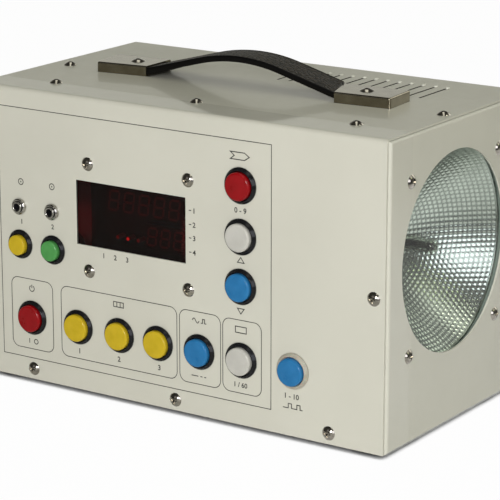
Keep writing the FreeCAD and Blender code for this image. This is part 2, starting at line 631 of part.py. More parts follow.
def makeButtons():
    bigBody = turned("bigBodyMaster", buttonProfile("bezelRadius", "bezelCrown", "barrelRadius",
                                                    "barrelBore", "barrelReach"))
    smallBody = turned("smallBodyMaster", buttonProfile("smallBezel", "smallCrown", "smallBarrel",
                                                        "smallBore", "smallReach"))
    bigCap = makeCap("bigCapMaster", "capRadius", "capProud")
    smallCap = makeCap("smallCapMaster", "smallCap", "smallProud")
    blackOnes = [spot for label, spot in bigButtons.items() if label != "pulse_button"]
    copies("button_bodies", bigBody, [onPanel(spot) for spot in blackOnes])
    copies("pulse_button_body", bigBody, [onPanel(bigButtons["pulse_button"])])
    copies("small_button_bodies", smallBody, [onPanel(spot) for spot in smallButtons.values()])
    for label, spot in bigButtons.items():
        copies(label, bigCap, [onPanel(spot)])
    for label, spot in smallButtons.items():
        copies(label, smallCap, [onPanel(spot)])
    bigNut = makeRingNut("bigNut", "nutAcross", "barrelRadius")
    smallNut = makeRingNut("smallNut", "smallNutAcross", "smallBarrel")
    links = []
    for nut, spots in ((bigNut, bigButtons), (smallNut, smallButtons)):
        for label, spot in spots.items():
            link = doc.addObject("App::Link", label + "Nut")
            link.LinkedObject = nut
            place(link, *onPanel(spot))
            links.append(link)
    group("button_nuts", *links)


def makeJacks():
    bushing = turned("jackMaster", [
        ("jackBore", "jackRise"), ("jackBushing", "jackRise"), ("jackBushing", "-sheetGauge"),
        ("jackBody", "-sheetGauge"), ("jackBody", "-jackReach"), ("jackBore", "-jackReach")])
    nut = turned("jackNutMaster", [
        ("jackBushing", "0"), ("jackNut", "0"), ("jackNut", "jackNutGauge * 3 / 4"),
        ("jackNut * 7 / 8", "jackNutGauge"), ("jackBushing", "jackNutGauge")])
    copies("jack_bodies", bushing, [onPanel(spot) for spot in jackPlaces])
    copies("jack_nuts", nut, [onPanel(spot) for spot in jackPlaces])


# --- display ------------------------------------------------------------------------------------
def makeDisplay():
    inside = f"{frontFace} + sheetGauge"
    named(block("display_window", across("windowX"), f"{inside} + acrylicGauge / 2",
                above("windowHeight - windowTall / 2 - acrylicLap"), "windowLength + 2 * acrylicLap",
                "acrylicGauge", "windowTall + 2 * acrylicLap"), "display_window")
    boardFace = f"{frontFace} + boardDepth"
    panel = block("displayPanel", across("boardX"), f"{boardFace} + boardGauge / 2",
                  above("boardHeight - boardTall / 2"), "boardLength", "boardGauge", "boardTall")
    holes = [rod(f"displayHole{i}", x, f"{boardFace} + 2 * boardGauge", z, screwHole,
                 "3 * boardGauge", "front") for i, (x, z) in enumerate(boardScrews)]
    named(cut("display_board", panel, *holes), "display_board")
    rows = [(f"{row}DigitsX", f"{row}DigitsHeight", f"{row}DigitsLength") for row in ("upper", "lower")]
    group("digit_displays", *[
        block(f"digits{i}", across(x), f"{boardFace} - digitsGauge / 2", above(f"{height} - digitsTall / 2"),
              length, "digitsGauge", "digitsTall") for i, (x, height, length) in enumerate(rows)])
    lamps = [(f"{across('memoryLampX')} + {i} * memoryLampPitch", above("memoryLampHeight"))
             for i in (-1, 0, 1)]
    lamps += [(across("stateLampX"), f"{above('stateLampHeight')} + ({i} - 1.5) * stateLampPitch")
              for i in range(4)]
    group("indicator_lamps", *[rod(f"indicator{i}", x, boardFace, z, "lampRadius", "lampReach", "front")
                               for i, (x, z) in enumerate(lamps)])
    reach = "boardDepth - sheetGauge"
    pillars = []
    for i, (x, z) in enumerate(boardScrews):
        post = hexagon(f"displayPost{i}", x, boardFace, z, "pillarAcross", reach, "front")
        bore = rod(f"displayPostBore{i}", x, boardFace, z, "screwRadius", reach, "front")
        pillars.append(cut(f"displayPillar{i}", post, bore))
    group("display_pillars", *pillars)


# --- flash lamp module --------------------------------------------------------------------------
def makeLamp():
    y = deep("lampDepth")
    z = above("lampHeight")
    inside = "caseLength / 2 - sheetGauge"

    def ring(label, start, gauge, outer, bore):
        disc = rod(label + "Disc", start, y, z, outer, gauge, "left")
        hole = rod(label + "Hole", f"{start} + {gauge}", y, z, bore, f"3 * ({gauge})", "left")
        return cut(label, disc, hole)

    named(ring("glass_gasket", inside, "gasketGauge", "glassRadius", "lampHoleRadius + 0.5 * gasketGauge"),
          "glass_gasket")
    glassFace = f"{inside} - gasketGauge"
    named(rod("front_glass", glassFace, y, z, "glassRadius", "glassGauge", "left"), "front_glass")
    mouth = f"{glassFace} - glassGauge"
    makeReflector()
    retainerFace = f"{mouth} - reflectorGauge"
    disc = rod("retainerDisc", retainerFace, y, z, "retainerRadius", "retainerGauge", "left")
    ears = [rod(f"retainerEar{i}", retainerFace, ey, ez, "earRadius", "retainerGauge", "left")
            for i, (ey, ez) in enumerate(lampScrews)]
    bores = [rod(f"retainerBore{i}", f"{retainerFace} + retainerGauge", ey, ez, screwHole,
                 "3 * retainerGauge", "left") for i, (ey, ez) in enumerate(lampScrews)]
    eye = rod("retainerEye", f"{retainerFace} + retainerGauge", y, z, "retainerBore",
              "3 * retainerGauge", "left")
    named(cut("lamp_retainer", fuse("retainerBlank", disc, *ears), eye, *bores), "lamp_retainer")
    spacers = []
    pillars = []
    stack = "gasketGauge + glassGauge + reflectorGauge"
    behind = f"{retainerFace} - retainerGauge"
    for i, (ey, ez) in enumerate(lampScrews):
        sleeve = rod(f"spacerSleeve{i}", inside, ey, ez, "spacerRadius", stack, "left")
        bore = rod(f"spacerBore{i}", inside, ey, ez, screwHole, stack, "left")
        spacers.append(cut(f"spacer{i}", sleeve, bore))
        post = hexagon(f"lampPost{i}", behind, ey, ez, "pillarAcross", "lampPillarReach", "left")
        bore = rod(f"lampPostBore{i}", behind, ey, ez, "screwRadius", "lampPillarReach", "left")
        pillars.append(cut(f"lampPillar{i}", post, bore))
    group("lamp_spacers", *spacers)
    group("lamp_pillars", *pillars)
    long = f"sheetGauge + {stack} + retainerGauge + screwReach"
    screw = makeScrew("lampScrew", "headRadius", "headRise", "screwRadius", long)
    copies("lamp_screws", screw, [("caseLength / 2", ey, ez, "right") for ey, ez in lampScrews])
    plateFace = f"{behind} - lampPillarReach"
    plate = block("socketPanel", f"{plateFace} - retainerGauge / 2", y, f"{z} - socketPlateSpan / 2",
                  "retainerGauge", "socketPlateSpan", "socketPlateSpan")
    bores = [rod(f"plateBore{i}", f"{plateFace} + retainerGauge", ey, ez, screwHole,
                 "3 * retainerGauge", "left") for i, (ey, ez) in enumerate(lampScrews)]
    eye = rod("plateEye", f"{plateFace} + retainerGauge", y, z, "socketRadius", "3 * retainerGauge", "left")
    named(cut("socket_plate", plate, eye, *bores), "socket_plate")
    socket = turned("socketMaster", [
        ("0", "socketNose"), ("socketRadius", "socketNose"), ("socketRadius", "-retainerGauge"),
        ("socketFlange", "-retainerGauge"), ("socketFlange", "-3 * retainerGauge"),
        ("socketRadius", "-3 * retainerGauge"), ("socketRadius", "-socketTail"), ("0", "-socketTail")])
    copies("tube_socket", socket, [(plateFace, y, z, "right")])
    tube = makeTube()
    copies("xenon_tube", tube, [(f"{plateFace} + socketNose", y, z, "right")])
    makeElectrodes(f"{plateFace} + socketNose", y, z)
    coil = rod("triggerCore", f"{plateFace} - retainerGauge", y, f"{z} + coilRise", "coilRadius",
               "coilReach", "left")
    named(coil, "trigger_coil")


def makeReflector():
    # A bowl of even wall with a flat rim; its curve is the parabola x = reach * (r / mouth) ^ 2,
    # drawn as two arcs through places on it.
    def curve(share, back):
        radius = f"(eyeRadius + {share} * (mouthRadius - eyeRadius))"
        return radius, f"reflectorReach * ({radius} / mouthRadius) ^ 2 - {back}"

    body = doc.addObject("PartDesign::Body", "reflectorMaster")
    sketch = startSketch(body, "XZ_Plane")
    inside = [curve(share, "0") for share in (0, 0.25, 0.5, 0.75, 1)]
    outside = [curve(share, "reflectorGauge") for share in (1, 0.75, 0.5, 0.25, 0)]
    drawLoop(sketch, [
        (*inside[0], inside[1]), (*inside[2], inside[3]), (*inside[4], None),
        ("glassRadius", "reflectorReach", None), ("glassRadius", "reflectorReach - reflectorGauge", None),
        (*outside[0], outside[1]), (*outside[2], outside[3]), (*outside[4], None)])
    revolve(body, sketch)
    mouth = "caseLength / 2 - sheetGauge - gasketGauge - glassGauge"
    copies("reflector", body, [(f"{mouth} - reflectorReach", deep("lampDepth"), above("lampHeight"), "right")])


def makeTube():
    # A round-nosed glass capsule, open inside.
    shells = []
    for name, radius, reach in (("tubeOuter", "tubeRadius", "tubeReach"),
                                ("tubeInner", "tubeRadius - tubeWall", "tubeReach - tubeWall")):
        barrel = rod(name + "Barrel", "0", "0", "0", radius, f"{reach} - ({radius})")
        nose = doc.addObject("Part::Sphere", name + "Nose")
        bind(nose, Radius=radius)
        place(nose, "0", "0", f"{reach} - ({radius})")
        trim = rod(name + "Trim", "0", "0", "0", f"2 * ({radius})", f"2 * {reach}")
        whole = doc.addObject("Part::Common", name + "Whole")
        whole.Base = nose
        whole.Tool = trim
        shells.append(fuse(name, barrel, whole))
    return cut("tubeMaster", *shells)


def makeElectrodes(x, y, z):
    cathode = fuse("cathode", rod("cathodeWire", x, y, z, "electrodeWire", "cathodeReach", "right"),
                   rod("cathodeHead", f"{x} + cathodeReach / 2", y, z, "cathodeRadius",
                       "cathodeReach / 2", "right"))
    tip = f"{x} + tubeReach - tubeRadius"
    anode = rod("anodeHead", f"{tip} - 2 * anodeRadius", y, z, "anodeRadius", "2 * anodeRadius", "right")
    side = "tubeRadius - tubeWall - 2 * electrodeWire"
    lead = rod("anodeLead", x, y, f"{z} - ({side})", "electrodeWire",
               "tubeReach - tubeRadius - anodeRadius", "right")
    strut = rod("anodeStrut", f"{tip} - anodeRadius", y, f"{z} - ({side})", "electrodeWire", side)
    group("tube_electrodes", cathode, fuse("anode", anode, lead, strut))


# --- power supply -------------------------------------------------------------------------------
def makeTransformer():
    x = across("coreX")
    y = deep("coreDepth")
    frame = block("coreFrame", x, y, caseFloor, "coreLength", "coreStack", "coreTall")
    opening = "(coreLength - 4 * coreLimb) / 2"
    tall = "coreTall - 2 * coreLimb"
    windows = [block(f"coreWindow{i}", f"{x} + {i} * (coreLimb + ({opening}) / 2)", y,
                     f"{caseFloor} + coreLimb", opening, "2 * coreStack", tall) for i in (-1, 1)]
    named(cut("transformer_core", frame, *windows), "transformer_core")
    spool = block("spool", x, y, f"{caseFloor} + coreLimb + windingGap",
                  f"2 * coreLimb + 2 * ({opening}) - 2 * windingGap", "coreStack + 2 * windingReach",
                  f"{tall} - 2 * windingGap")
    limb = block("limb", x, y, caseFloor, "2 * coreLimb", "coreStack", "coreTall")
    named(cut("transformer_winding", spool, limb), "transformer_winding")


def makeMainBoard():
    x = across("mainBoardX")
    y = deep("mainBoardDepth")
    low = f"{caseFloor} + mainBoardLift"
    board = block("mainPanel", x, y, low, "mainBoardLength", "mainBoardWidth", "boardGauge")
    holes = [rod(f"mainHole{i}", px, py, f"{low} - boardGauge", screwHole, "3 * boardGauge")
             for i, (px, py) in enumerate(mainBoardPillars)]
    named(cut("main_board", board, *holes), "main_board")
    pillars = []
    for i, (px, py) in enumerate(mainBoardPillars):
        post = hexagon(f"mainPost{i}", px, py, caseFloor, "pillarAcross", "mainBoardLift")
        bore = rod(f"mainPostBore{i}", px, py, caseFloor, "screwRadius", "mainBoardLift")
        pillars.append(cut(f"mainPillar{i}", post, bore))
    group("main_board_pillars", *pillars)
    group("flash_capacitors", *[
        rod(f"can{i}", f"{across('canX')} + {i} * canPitch", deep("canDepth"), f"{low} + boardGauge",
            "canRadius", "canReach") for i in range(2)])


def makeInlet():
    x = across("inletX")
    z = above("inletHeight")
    flange = block("inletFlangePlate", x, f"{backFace} + inletFlange / 2", f"{z} - inletTall / 2",
                   "inletLength", "inletFlange", "inletTall")
    shell = block("inletShell", x, f"{backFace} - inletReach / 2", f"{z} - inletBodyTall / 2",
                  "inletBodyLength", "inletReach", "inletBodyTall")
    mouthFace = f"{backFace} + inletFlange"
    mouth = block("inletMouth", x, mouthFace, f"{z} - inletMouthTall / 2", "inletMouthLength",
                  "2 * inletMouthReach", "inletMouthTall")
    bores = [rod(f"inletBore{i}", sx, f"{mouthFace} + inletFlange", z, screwHole, "4 * inletFlange", "front")
             for i, sx in enumerate(inletScrews)]
    named(cut("power_inlet", fuse("inletBlank", flange, shell), mouth, *bores), "power_inlet")
    floor = f"{mouthFace} - inletMouthReach"
    spots = [(f"{x} - pinPitch", f"{z} - pinStagger"), (x, f"{z} + pinStagger"),
             (f"{x} + pinPitch", f"{z} - pinStagger")]
    group("inlet_pins", *[block(f"pin{i}", px, f"{floor} + pinReach / 2", f"{pz} - pinLength / 2",
                                "pinGauge", "pinReach", "pinLength") for i, (px, pz) in enumerate(spots)])


def makeFuseHolder():
    x = across("fuseX")
    z = above("fuseHeight")
    holder = turned("fuseHolderMaster", [
        ("fuseBore", "fuseFlangeGauge"), ("fuseFlange", "fuseFlangeGauge"), ("fuseFlange", "0"),
        ("fuseBody", "0"), ("fuseBody", "-fuseReach"), ("0", "-fuseReach"),
        ("0", "-fuseShaftReach - fuseFlangeGauge"), ("fuseBore", "-fuseShaftReach - fuseFlangeGauge")])
    nutBlank = hexagon("fuseNutBlank", "0", "0", "-sheetGauge - nutGauge", "fuseNutAcross", "nutGauge")
    nutHole = rod("fuseNutHole", "0", "0", "-sheetGauge - 2 * nutGauge", "fuseBody", "4 * nutGauge")
    nut = cut("fuseNut", nutBlank, nutHole)
    places = [(x, backFace, z, "back")]
    holderLink = doc.addObject("App::Link", "fuseHolderPlaced")
    holderLink.LinkedObject = holder
    place(holderLink, *places[0])
    nutLink = doc.addObject("App::Link", "fuseNutPlaced")
    nutLink.LinkedObject = nut
    place(nutLink, *places[0])
    group("fuse_holder", holderLink, nutLink)
    seat = "fuseFlangeGauge + seamGap"
    head = rod("fuseHead", "0", "0", seat, "fuseCap", "fuseCapGauge")
    shaft = rod("fuseShaftRod", "0", "0", "seamGap - fuseShaftReach", "fuseShaft",
                "fuseShaftReach + fuseFlangeGauge")
    slot = block("fuseSlotBar", "0", "0", f"{seat} + fuseCapGauge - fuseSlot", "2 * fuseCap", "fuseSlot",
                 "fuseCapGauge")
    copies("fuse_cap", cut("fuseCapMaster", fuse("fuseCapBlank", head, shaft), slot), places)


# --- handle -------------------------------------------------------------------------------------
def drawStrap(sketch, gauge, end):
    # Each half is an arc over the middle, a slope, a reversed arc and a flat end.
    crown = f"({caseTop} + archRise + strapGauge / 2)"
    flat = f"({caseTop} + capHeight / 2)"
    run = f"(({crown} - {flat} - (archRadius + archEndRadius) * (1 - cos(archSlope))) / sin(archSlope))"
    hubX = f"((archRadius + archEndRadius) * sin(archSlope) + {run} * cos(archSlope))"

    def archPoint(side, angle, offset):
        radius = f"(archRadius + {offset})"
        return f"{side} * {radius} * sin({angle})", f"{crown} - archRadius + {radius} * cos({angle})"

    def footPoint(side, angle, offset):
        radius = f"(archEndRadius - {offset})"
        return (f"{side} * ({hubX} - {radius} * sin({angle}))",
                f"{flat} + archEndRadius - {radius} * cos({angle})")

    def face(side, offset):
        start, turn = side, -side
        return [(f"{start} * ({end})", f"{flat} + {offset}", None),
                (*footPoint(start, "0", offset), footPoint(start, "archSlope / 2", offset)),
                (*footPoint(start, "archSlope", offset), None),
                (*archPoint(start, "archSlope", offset), archPoint(start, "0", offset)),
                (*archPoint(turn, "archSlope", offset), None),
                (*footPoint(turn, "archSlope", offset), footPoint(turn, "archSlope / 2", offset)),
                (*footPoint(turn, "0", offset), None),
                (f"{turn} * ({end})", f"{flat} + {offset}", None)]

    drawLoop(sketch, face(-1, f"{gauge} / 2") + face(1, f"-{gauge} / 2"))


def capCorner(side, reach, way):
    # One corner of a cap's mouth, turned with the cap about its screw.
    turn = "leftCapTurn" if side < 0 else "rightCapTurn"
    x, y = f"(-{side} * ({reach}))", f"({way} * capWidth / 2)"
    return (f"{side} * handleScrewReach + {x} * cos({turn}) - {y} * sin({turn})",
            f"{x} * sin({turn}) + {y} * cos({turn})")


def makeStrap():
    strap = startBody("handle_strap")
    sketch = startSketch(strap, "XZ_Plane")
    drawStrap(sketch, "strapGauge", "strapEnd")
    pad(strap, sketch, "strapWidth", midplane=True)
    side = value("strapWidth") / 2
    soften(strap, "strapRound", lambda box, edge: box.YLength < 0.01 and box.XLength > 0.01
           and abs(abs(box.YMin) - side) < 0.01)
    # A heel under the strap fills it out where it leaves the left cap.
    heel = startSketch(strap, "XZ_Plane")
    drawOutline(heel, [("-heelStart", f"{caseTop} + heelLow"), ("-heelEnd", f"{caseTop} + heelHigh"),
                       ("-heelEnd", f"{caseTop} + heelHigh + strapGauge / 2.5"),
                       ("-heelStart", f"{caseTop} + heelLow + strapGauge / 2")])
    pad(strap, heel, "strapWidth", midplane=True)
    # Inside the caps the strap narrows to a tongue, so each cap can sit turned on its screw.
    tongue = startSketch(strap, "XY_Plane", caseTop)
    for end, start, way in ((-1, "tongueStart", -1), (-1, "tongueStart", 1), (1, "tongueStart", -1),
                            (1, "tongueEarly", 1)):
        drawRectangle(tongue, f"{end} * ({start} + strapEnd + 1) / 2",
                      f"{way} * (tongueWidth + strapWidth + 2) / 4", f"strapEnd + 1 - {start}",
                      "(strapWidth + 2 - tongueWidth) / 2")
    pocket(strap, tongue, reverse=True)
    slot = startSketch(strap, "XZ_Plane")
    drawStrap(slot, "coreStripGauge", "strapEnd - 2 * capGauge")
    pocket(strap, slot, "coreStripWidth", midplane=True)
    core = startBody("handle_core")
    sketch = startSketch(core, "XZ_Plane")
    drawStrap(sketch, "coreStripGauge", "strapEnd - 2 * capGauge")
    pad(core, sketch, "coreStripWidth", midplane=True)
    for body in (strap, core):
        # Under the lips of the caps the top is pressed flat.
        pressed = startSketch(body, "XY_Plane", f"{caseTop} + capHeight - capGauge - 0.15")
        for end, front, back in ((-1, "leftMouthFront", "leftMouthBack"),
                                 (1, "rightMouthFront", "rightMouthBack")):
            drawOutline(pressed, [capCorner(end, front + " + 0.4", -1), capCorner(end, back + " + 0.4", 1),
                                  (f"{end} * (strapEnd + 1)", "capWidth / 2"),
                                  (f"{end} * (strapEnd + 1)", "-capWidth / 2")][::end])
        pocket(body, pressed, reverse=True)
        bores = startSketch(body, "XY_Plane", caseTop)
        for i in (-1, 1):
            drawCircle(bores, f"{i} * handleScrewReach", "0", "handleScrewRadius + screwSlack")
        pocket(body, bores, reverse=True)
        place(body, "handleShift", "0", "0")


def makeHandleCap(label, side, turn, front, back):
    # Folded sheet, closed at the outer end, its mouth cut aslant; it sits turned about its screw.
    body = startBody(label)
    sketch = startSketch(body, "XY_Plane", caseTop)
    drawOutline(sketch, [(f"-{side} * {front}", "-capWidth / 2"), (f"{side} * capEnd", "-capWidth / 2"),
                         (f"{side} * capEnd", "capWidth / 2"), (f"-{side} * {back}", "capWidth / 2")][::side])
    pad(body, sketch, "capHeight")
    top = value("footHeight") + value("caseHeight") + value("capHeight")
    soften(body, "capGauge", lambda box, edge: abs(box.ZMax - top) < 0.01
           and side * (box.XMin + box.XMax) / 2 > -value("capEnd") / 2)
    hollow = startSketch(body, "YZ_Plane", f"{side} * (capEnd - capGauge)")
    drawRectangle(hollow, "0", f"{caseTop} + capHeight / 2", "capWidth - 2 * capGauge",
                  "capHeight - 2 * capGauge")
    pocket(body, hollow, "3 * capEnd", reverse=side < 0)
    bore = startSketch(body, "XY_Plane", caseTop)
    drawCircle(bore, "0", "0", "handleScrewRadius + screwSlack")
    pocket(body, bore, reverse=True)
    place(body, f"handleShift + {side} * handleScrewReach", "0", "0")
    bind(body, **{"Placement.Rotation.Angle": f"{turn} * 1 deg"})


def makeHandle():
    makeStrap()
    makeHandleCap("handle_cap_left", -1, "leftCapTurn", "leftMouthFront", "leftMouthBack")
    makeHandleCap("handle_cap_right", 1, "rightCapTurn", "rightMouthFront", "rightMouthBack")
    screw = makeScrew("handleScrew", "handleHead", "handleHeadRise", "handleScrewRadius",
                      "capHeight + handleScrewDrop")
    copies("handle_screws", screw, [(x, "0", f"{caseTop} + capHeight", "up") for x in handleScrews])
    blank = hexagon("handleNutBlank", "0", "0", "-handleNutGauge", "handleNutAcross", "handleNutGauge")
    hole = rod("handleNutHole", "0", "0", "-2 * handleNutGauge", "handleScrewRadius", "4 * handleNutGauge")
    copies("handle_nuts", cut("handleNut", blank, hole),
           [(x, "0", f"{caseTop} - sheetGauge", "up") for x in handleScrews])


makeCover()
makeEndPlate("lamp_end_plate", 1)
makeEndPlate("plain_end_plate", -1)
makeTray()
makeRail()
makeFeet()
makeCaseScrews()
makeButtons()
makeJacks()
makeDisplay()
makeLamp()
makeTransformer()
makeMainBoard()
makeInlet()
makeFuseHolder()
makeHandle()
doc.recompute()

failed = [item.Name for item in doc.Objects if "Invalid" in item.State or "Error" in item.State]
failed += [item.Label for item in nodes if item.Shape.isNull() or not item.Shape.isValid()]
if failed:
    raise RuntimeError("failed objects: " + ", ".join(failed))
os.makedirs("parts", exist_ok=True)
for item in nodes:
    item.Shape.exportStep(f"parts/{item.Label}.step")
print(len(nodes), "nodes written")
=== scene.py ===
import json
import math
import bmesh
import bpy
import numpy as np
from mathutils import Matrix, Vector

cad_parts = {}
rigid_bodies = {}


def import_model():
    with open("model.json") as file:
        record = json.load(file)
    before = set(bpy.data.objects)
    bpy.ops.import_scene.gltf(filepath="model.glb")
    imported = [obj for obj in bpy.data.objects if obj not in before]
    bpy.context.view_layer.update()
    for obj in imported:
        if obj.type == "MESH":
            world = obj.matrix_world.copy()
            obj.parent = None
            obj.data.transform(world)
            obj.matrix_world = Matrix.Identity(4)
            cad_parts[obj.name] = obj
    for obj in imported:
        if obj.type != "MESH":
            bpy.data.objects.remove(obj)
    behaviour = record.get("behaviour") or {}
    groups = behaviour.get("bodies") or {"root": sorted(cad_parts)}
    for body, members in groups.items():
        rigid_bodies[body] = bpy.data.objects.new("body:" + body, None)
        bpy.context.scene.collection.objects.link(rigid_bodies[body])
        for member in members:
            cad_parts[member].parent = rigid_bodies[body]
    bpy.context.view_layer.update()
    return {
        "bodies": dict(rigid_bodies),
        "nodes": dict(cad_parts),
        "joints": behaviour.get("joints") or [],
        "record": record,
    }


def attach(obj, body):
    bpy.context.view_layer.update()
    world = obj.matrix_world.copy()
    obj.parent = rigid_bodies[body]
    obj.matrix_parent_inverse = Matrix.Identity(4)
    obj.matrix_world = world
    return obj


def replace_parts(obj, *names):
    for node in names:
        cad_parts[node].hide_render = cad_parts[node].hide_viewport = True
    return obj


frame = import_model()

mm = 0.001
caseSize = {"length": 240.0, "depth": 135.0, "height": 150.0, "feet": 2.2}
halfLength, halfDepth = caseSize["length"] / 2, caseSize["depth"] / 2


def onCase(x, y, z):
    # places in mm from the left end, the front face and the underside of the case become frame metres
    x, y, z = np.broadcast_arrays(x, y, z)
    return np.stack([x - halfLength, y - halfDepth, z + caseSize["feet"]], -1) * mm


def addObject(name, data):
    made = bpy.data.objects.new(name, data)
    bpy.context.scene.collection.objects.link(made)
    return made


# camera and light

view = {"place": (0.65617, -0.98069, 0.39013), "azimuth": 33.797, "elevation": 15.259, "lens": 175.3}
lamps = {
    # name: place, size, watts, colour; each one faces the case
    "key": ((0.7, -1.33, 0.54), 0.5, 16.0, "#ffffff"),
    "front": ((-0.35, -1.5, 0.75), 0.8, 0.6, "#ffffff"),
    "overhead": ((0.6, -0.3, 1.2), 0.2, 1.1, "#fbfbe8"),
    "ceiling": ((0.7, 0.25, 1.2), 0.26, 0.9, "#fbfbe8"),
    "window": ((1.3, 0.2, 0.85), 0.16, 0.22, "#dcee9c"),
}


def makeCamera():
    data = bpy.data.cameras.new("bench")
    data.lens = view["lens"]
    data.sensor_width = 36
    camera = addObject("bench", data)
    camera.location = view["place"]
    camera.rotation_euler = (math.radians(90 - view["elevation"]), 0, math.radians(view["azimuth"]))
    bpy.context.scene.camera = camera


def makeLamps():
    aim = Vector((0, 0, 0.08))
    for name, (place, size, watts, colour) in lamps.items():
        data = bpy.data.lights.new(name, "AREA")
        data.size = size
        data.energy = watts
        data.color = linear(colour)[:3]
        lamp = addObject(name, data)
        lamp.location = place
        lamp.rotation_euler = (aim - Vector(place)).to_track_quat("-Z", "Y").to_euler()


# node helpers

def linear(code):
    # an sRGB hex code becomes a linear colour
    levels = np.array([int(code[i:i + 2], 16) for i in (1, 3, 5)]) / 255
    curve = np.where(levels <= 0.04045, levels / 12.92, ((levels + 0.055) / 1.055) ** 2.4)
    return (*[float(level) for level in curve], 1.0)


def addNode(tree, kind, settings=None, links=None):
    made = tree.nodes.new("ShaderNode" + kind)
    for key, value in (settings or {}).items():
        if isinstance(key, int) or key in made.inputs:
            made.inputs[key].default_value = value
        else:
            setattr(made, key, value)
    for key, source in (links or {}).items():
        feed(made, key, source)
    return made


def feed(node, socket, source):
    node.id_data.links.new(source, node.inputs[socket])


def blendColours(tree, amount, first, second):
    # colours may be hex codes or sockets
    settings = {"data_type": "RGBA"}
    links = {0: amount}
    for slot, colour in ((6, first), (7, second)):
        if isinstance(colour, str):
            settings[slot] = linear(colour)
        else:
            links[slot] = colour
    return addNode(tree, "Mix", settings, links).outputs[2]


def calc(tree, operation, *terms, clamp=False):
    # a Math node; each term is a number or a socket
    made = addNode(tree, "Math", {"operation": operation, "use_clamp": clamp})
    for slot, term in enumerate(terms):
        if isinstance(term, (int, float)):
            made.inputs[slot].default_value = term
        else:
            feed(made, slot, term)
    return made.outputs[0]


def times(tree, first, second):
    return calc(tree, "MULTIPLY", first, second)


def steps(tree, source, low, high, outLow=0.0, outHigh=1.0):
    settings = {"From Min": low, "From Max": high, "To Min": outLow, "To Max": outHigh}
    return addNode(tree, "MapRange", settings, {"Value": source}).outputs["Result"]


def startMaterial(name, sockets):
    material = bpy.data.materials.new(name)
    material.use_nodes = True
    tree = material.node_tree
    shader = tree.nodes["Principled BSDF"]
    for key, value in sockets.items():
        shader.inputs[key].default_value = value
    return material, tree, shader


def noise(tree, where, size, detail=3.0):
    # size is the real width of a blotch in mm
    settings = {"Scale": 1 / (size * mm), "Detail": detail}
    return addNode(tree, "TexNoise", settings, {"Vector": where}).outputs["Fac"]


def bump(tree, shader, height, depth):
    # depth is the real height of the pattern in mm
    made = addNode(tree, "Bump", {"Distance": depth * mm, "Strength": 1.0}, {"Height": height})
    feed(shader, "Normal", made.outputs["Normal"])


def mixLevels(tree, amount, first, second):
    # levels may be numbers or sockets
    settings, links = {"data_type": "FLOAT"}, {0: amount}
    for slot, level in ((2, first), (3, second)):
        (settings if isinstance(level, (int, float)) else links)[slot] = level
    return addNode(tree, "Mix", settings, links).outputs[0]


def ownPlace(tree):
    return addNode(tree, "TexCoord").outputs["Object"]


def axes(tree, source):
    return addNode(tree, "SeparateXYZ", None, {0: source}).outputs


def measure(tree, operation, source, other=(0, 0, 0)):
    # a length, distance or dot product of a vector
    return addNode(tree, "VectorMath", {"operation": operation, 1: other}, {0: source}).outputs["Value"]


def mixShaders(tree, amount, first, second):
    return addNode(tree, "MixShader", None, {0: amount, 1: first.outputs[0], 2: second.outputs[0]})


# finishes

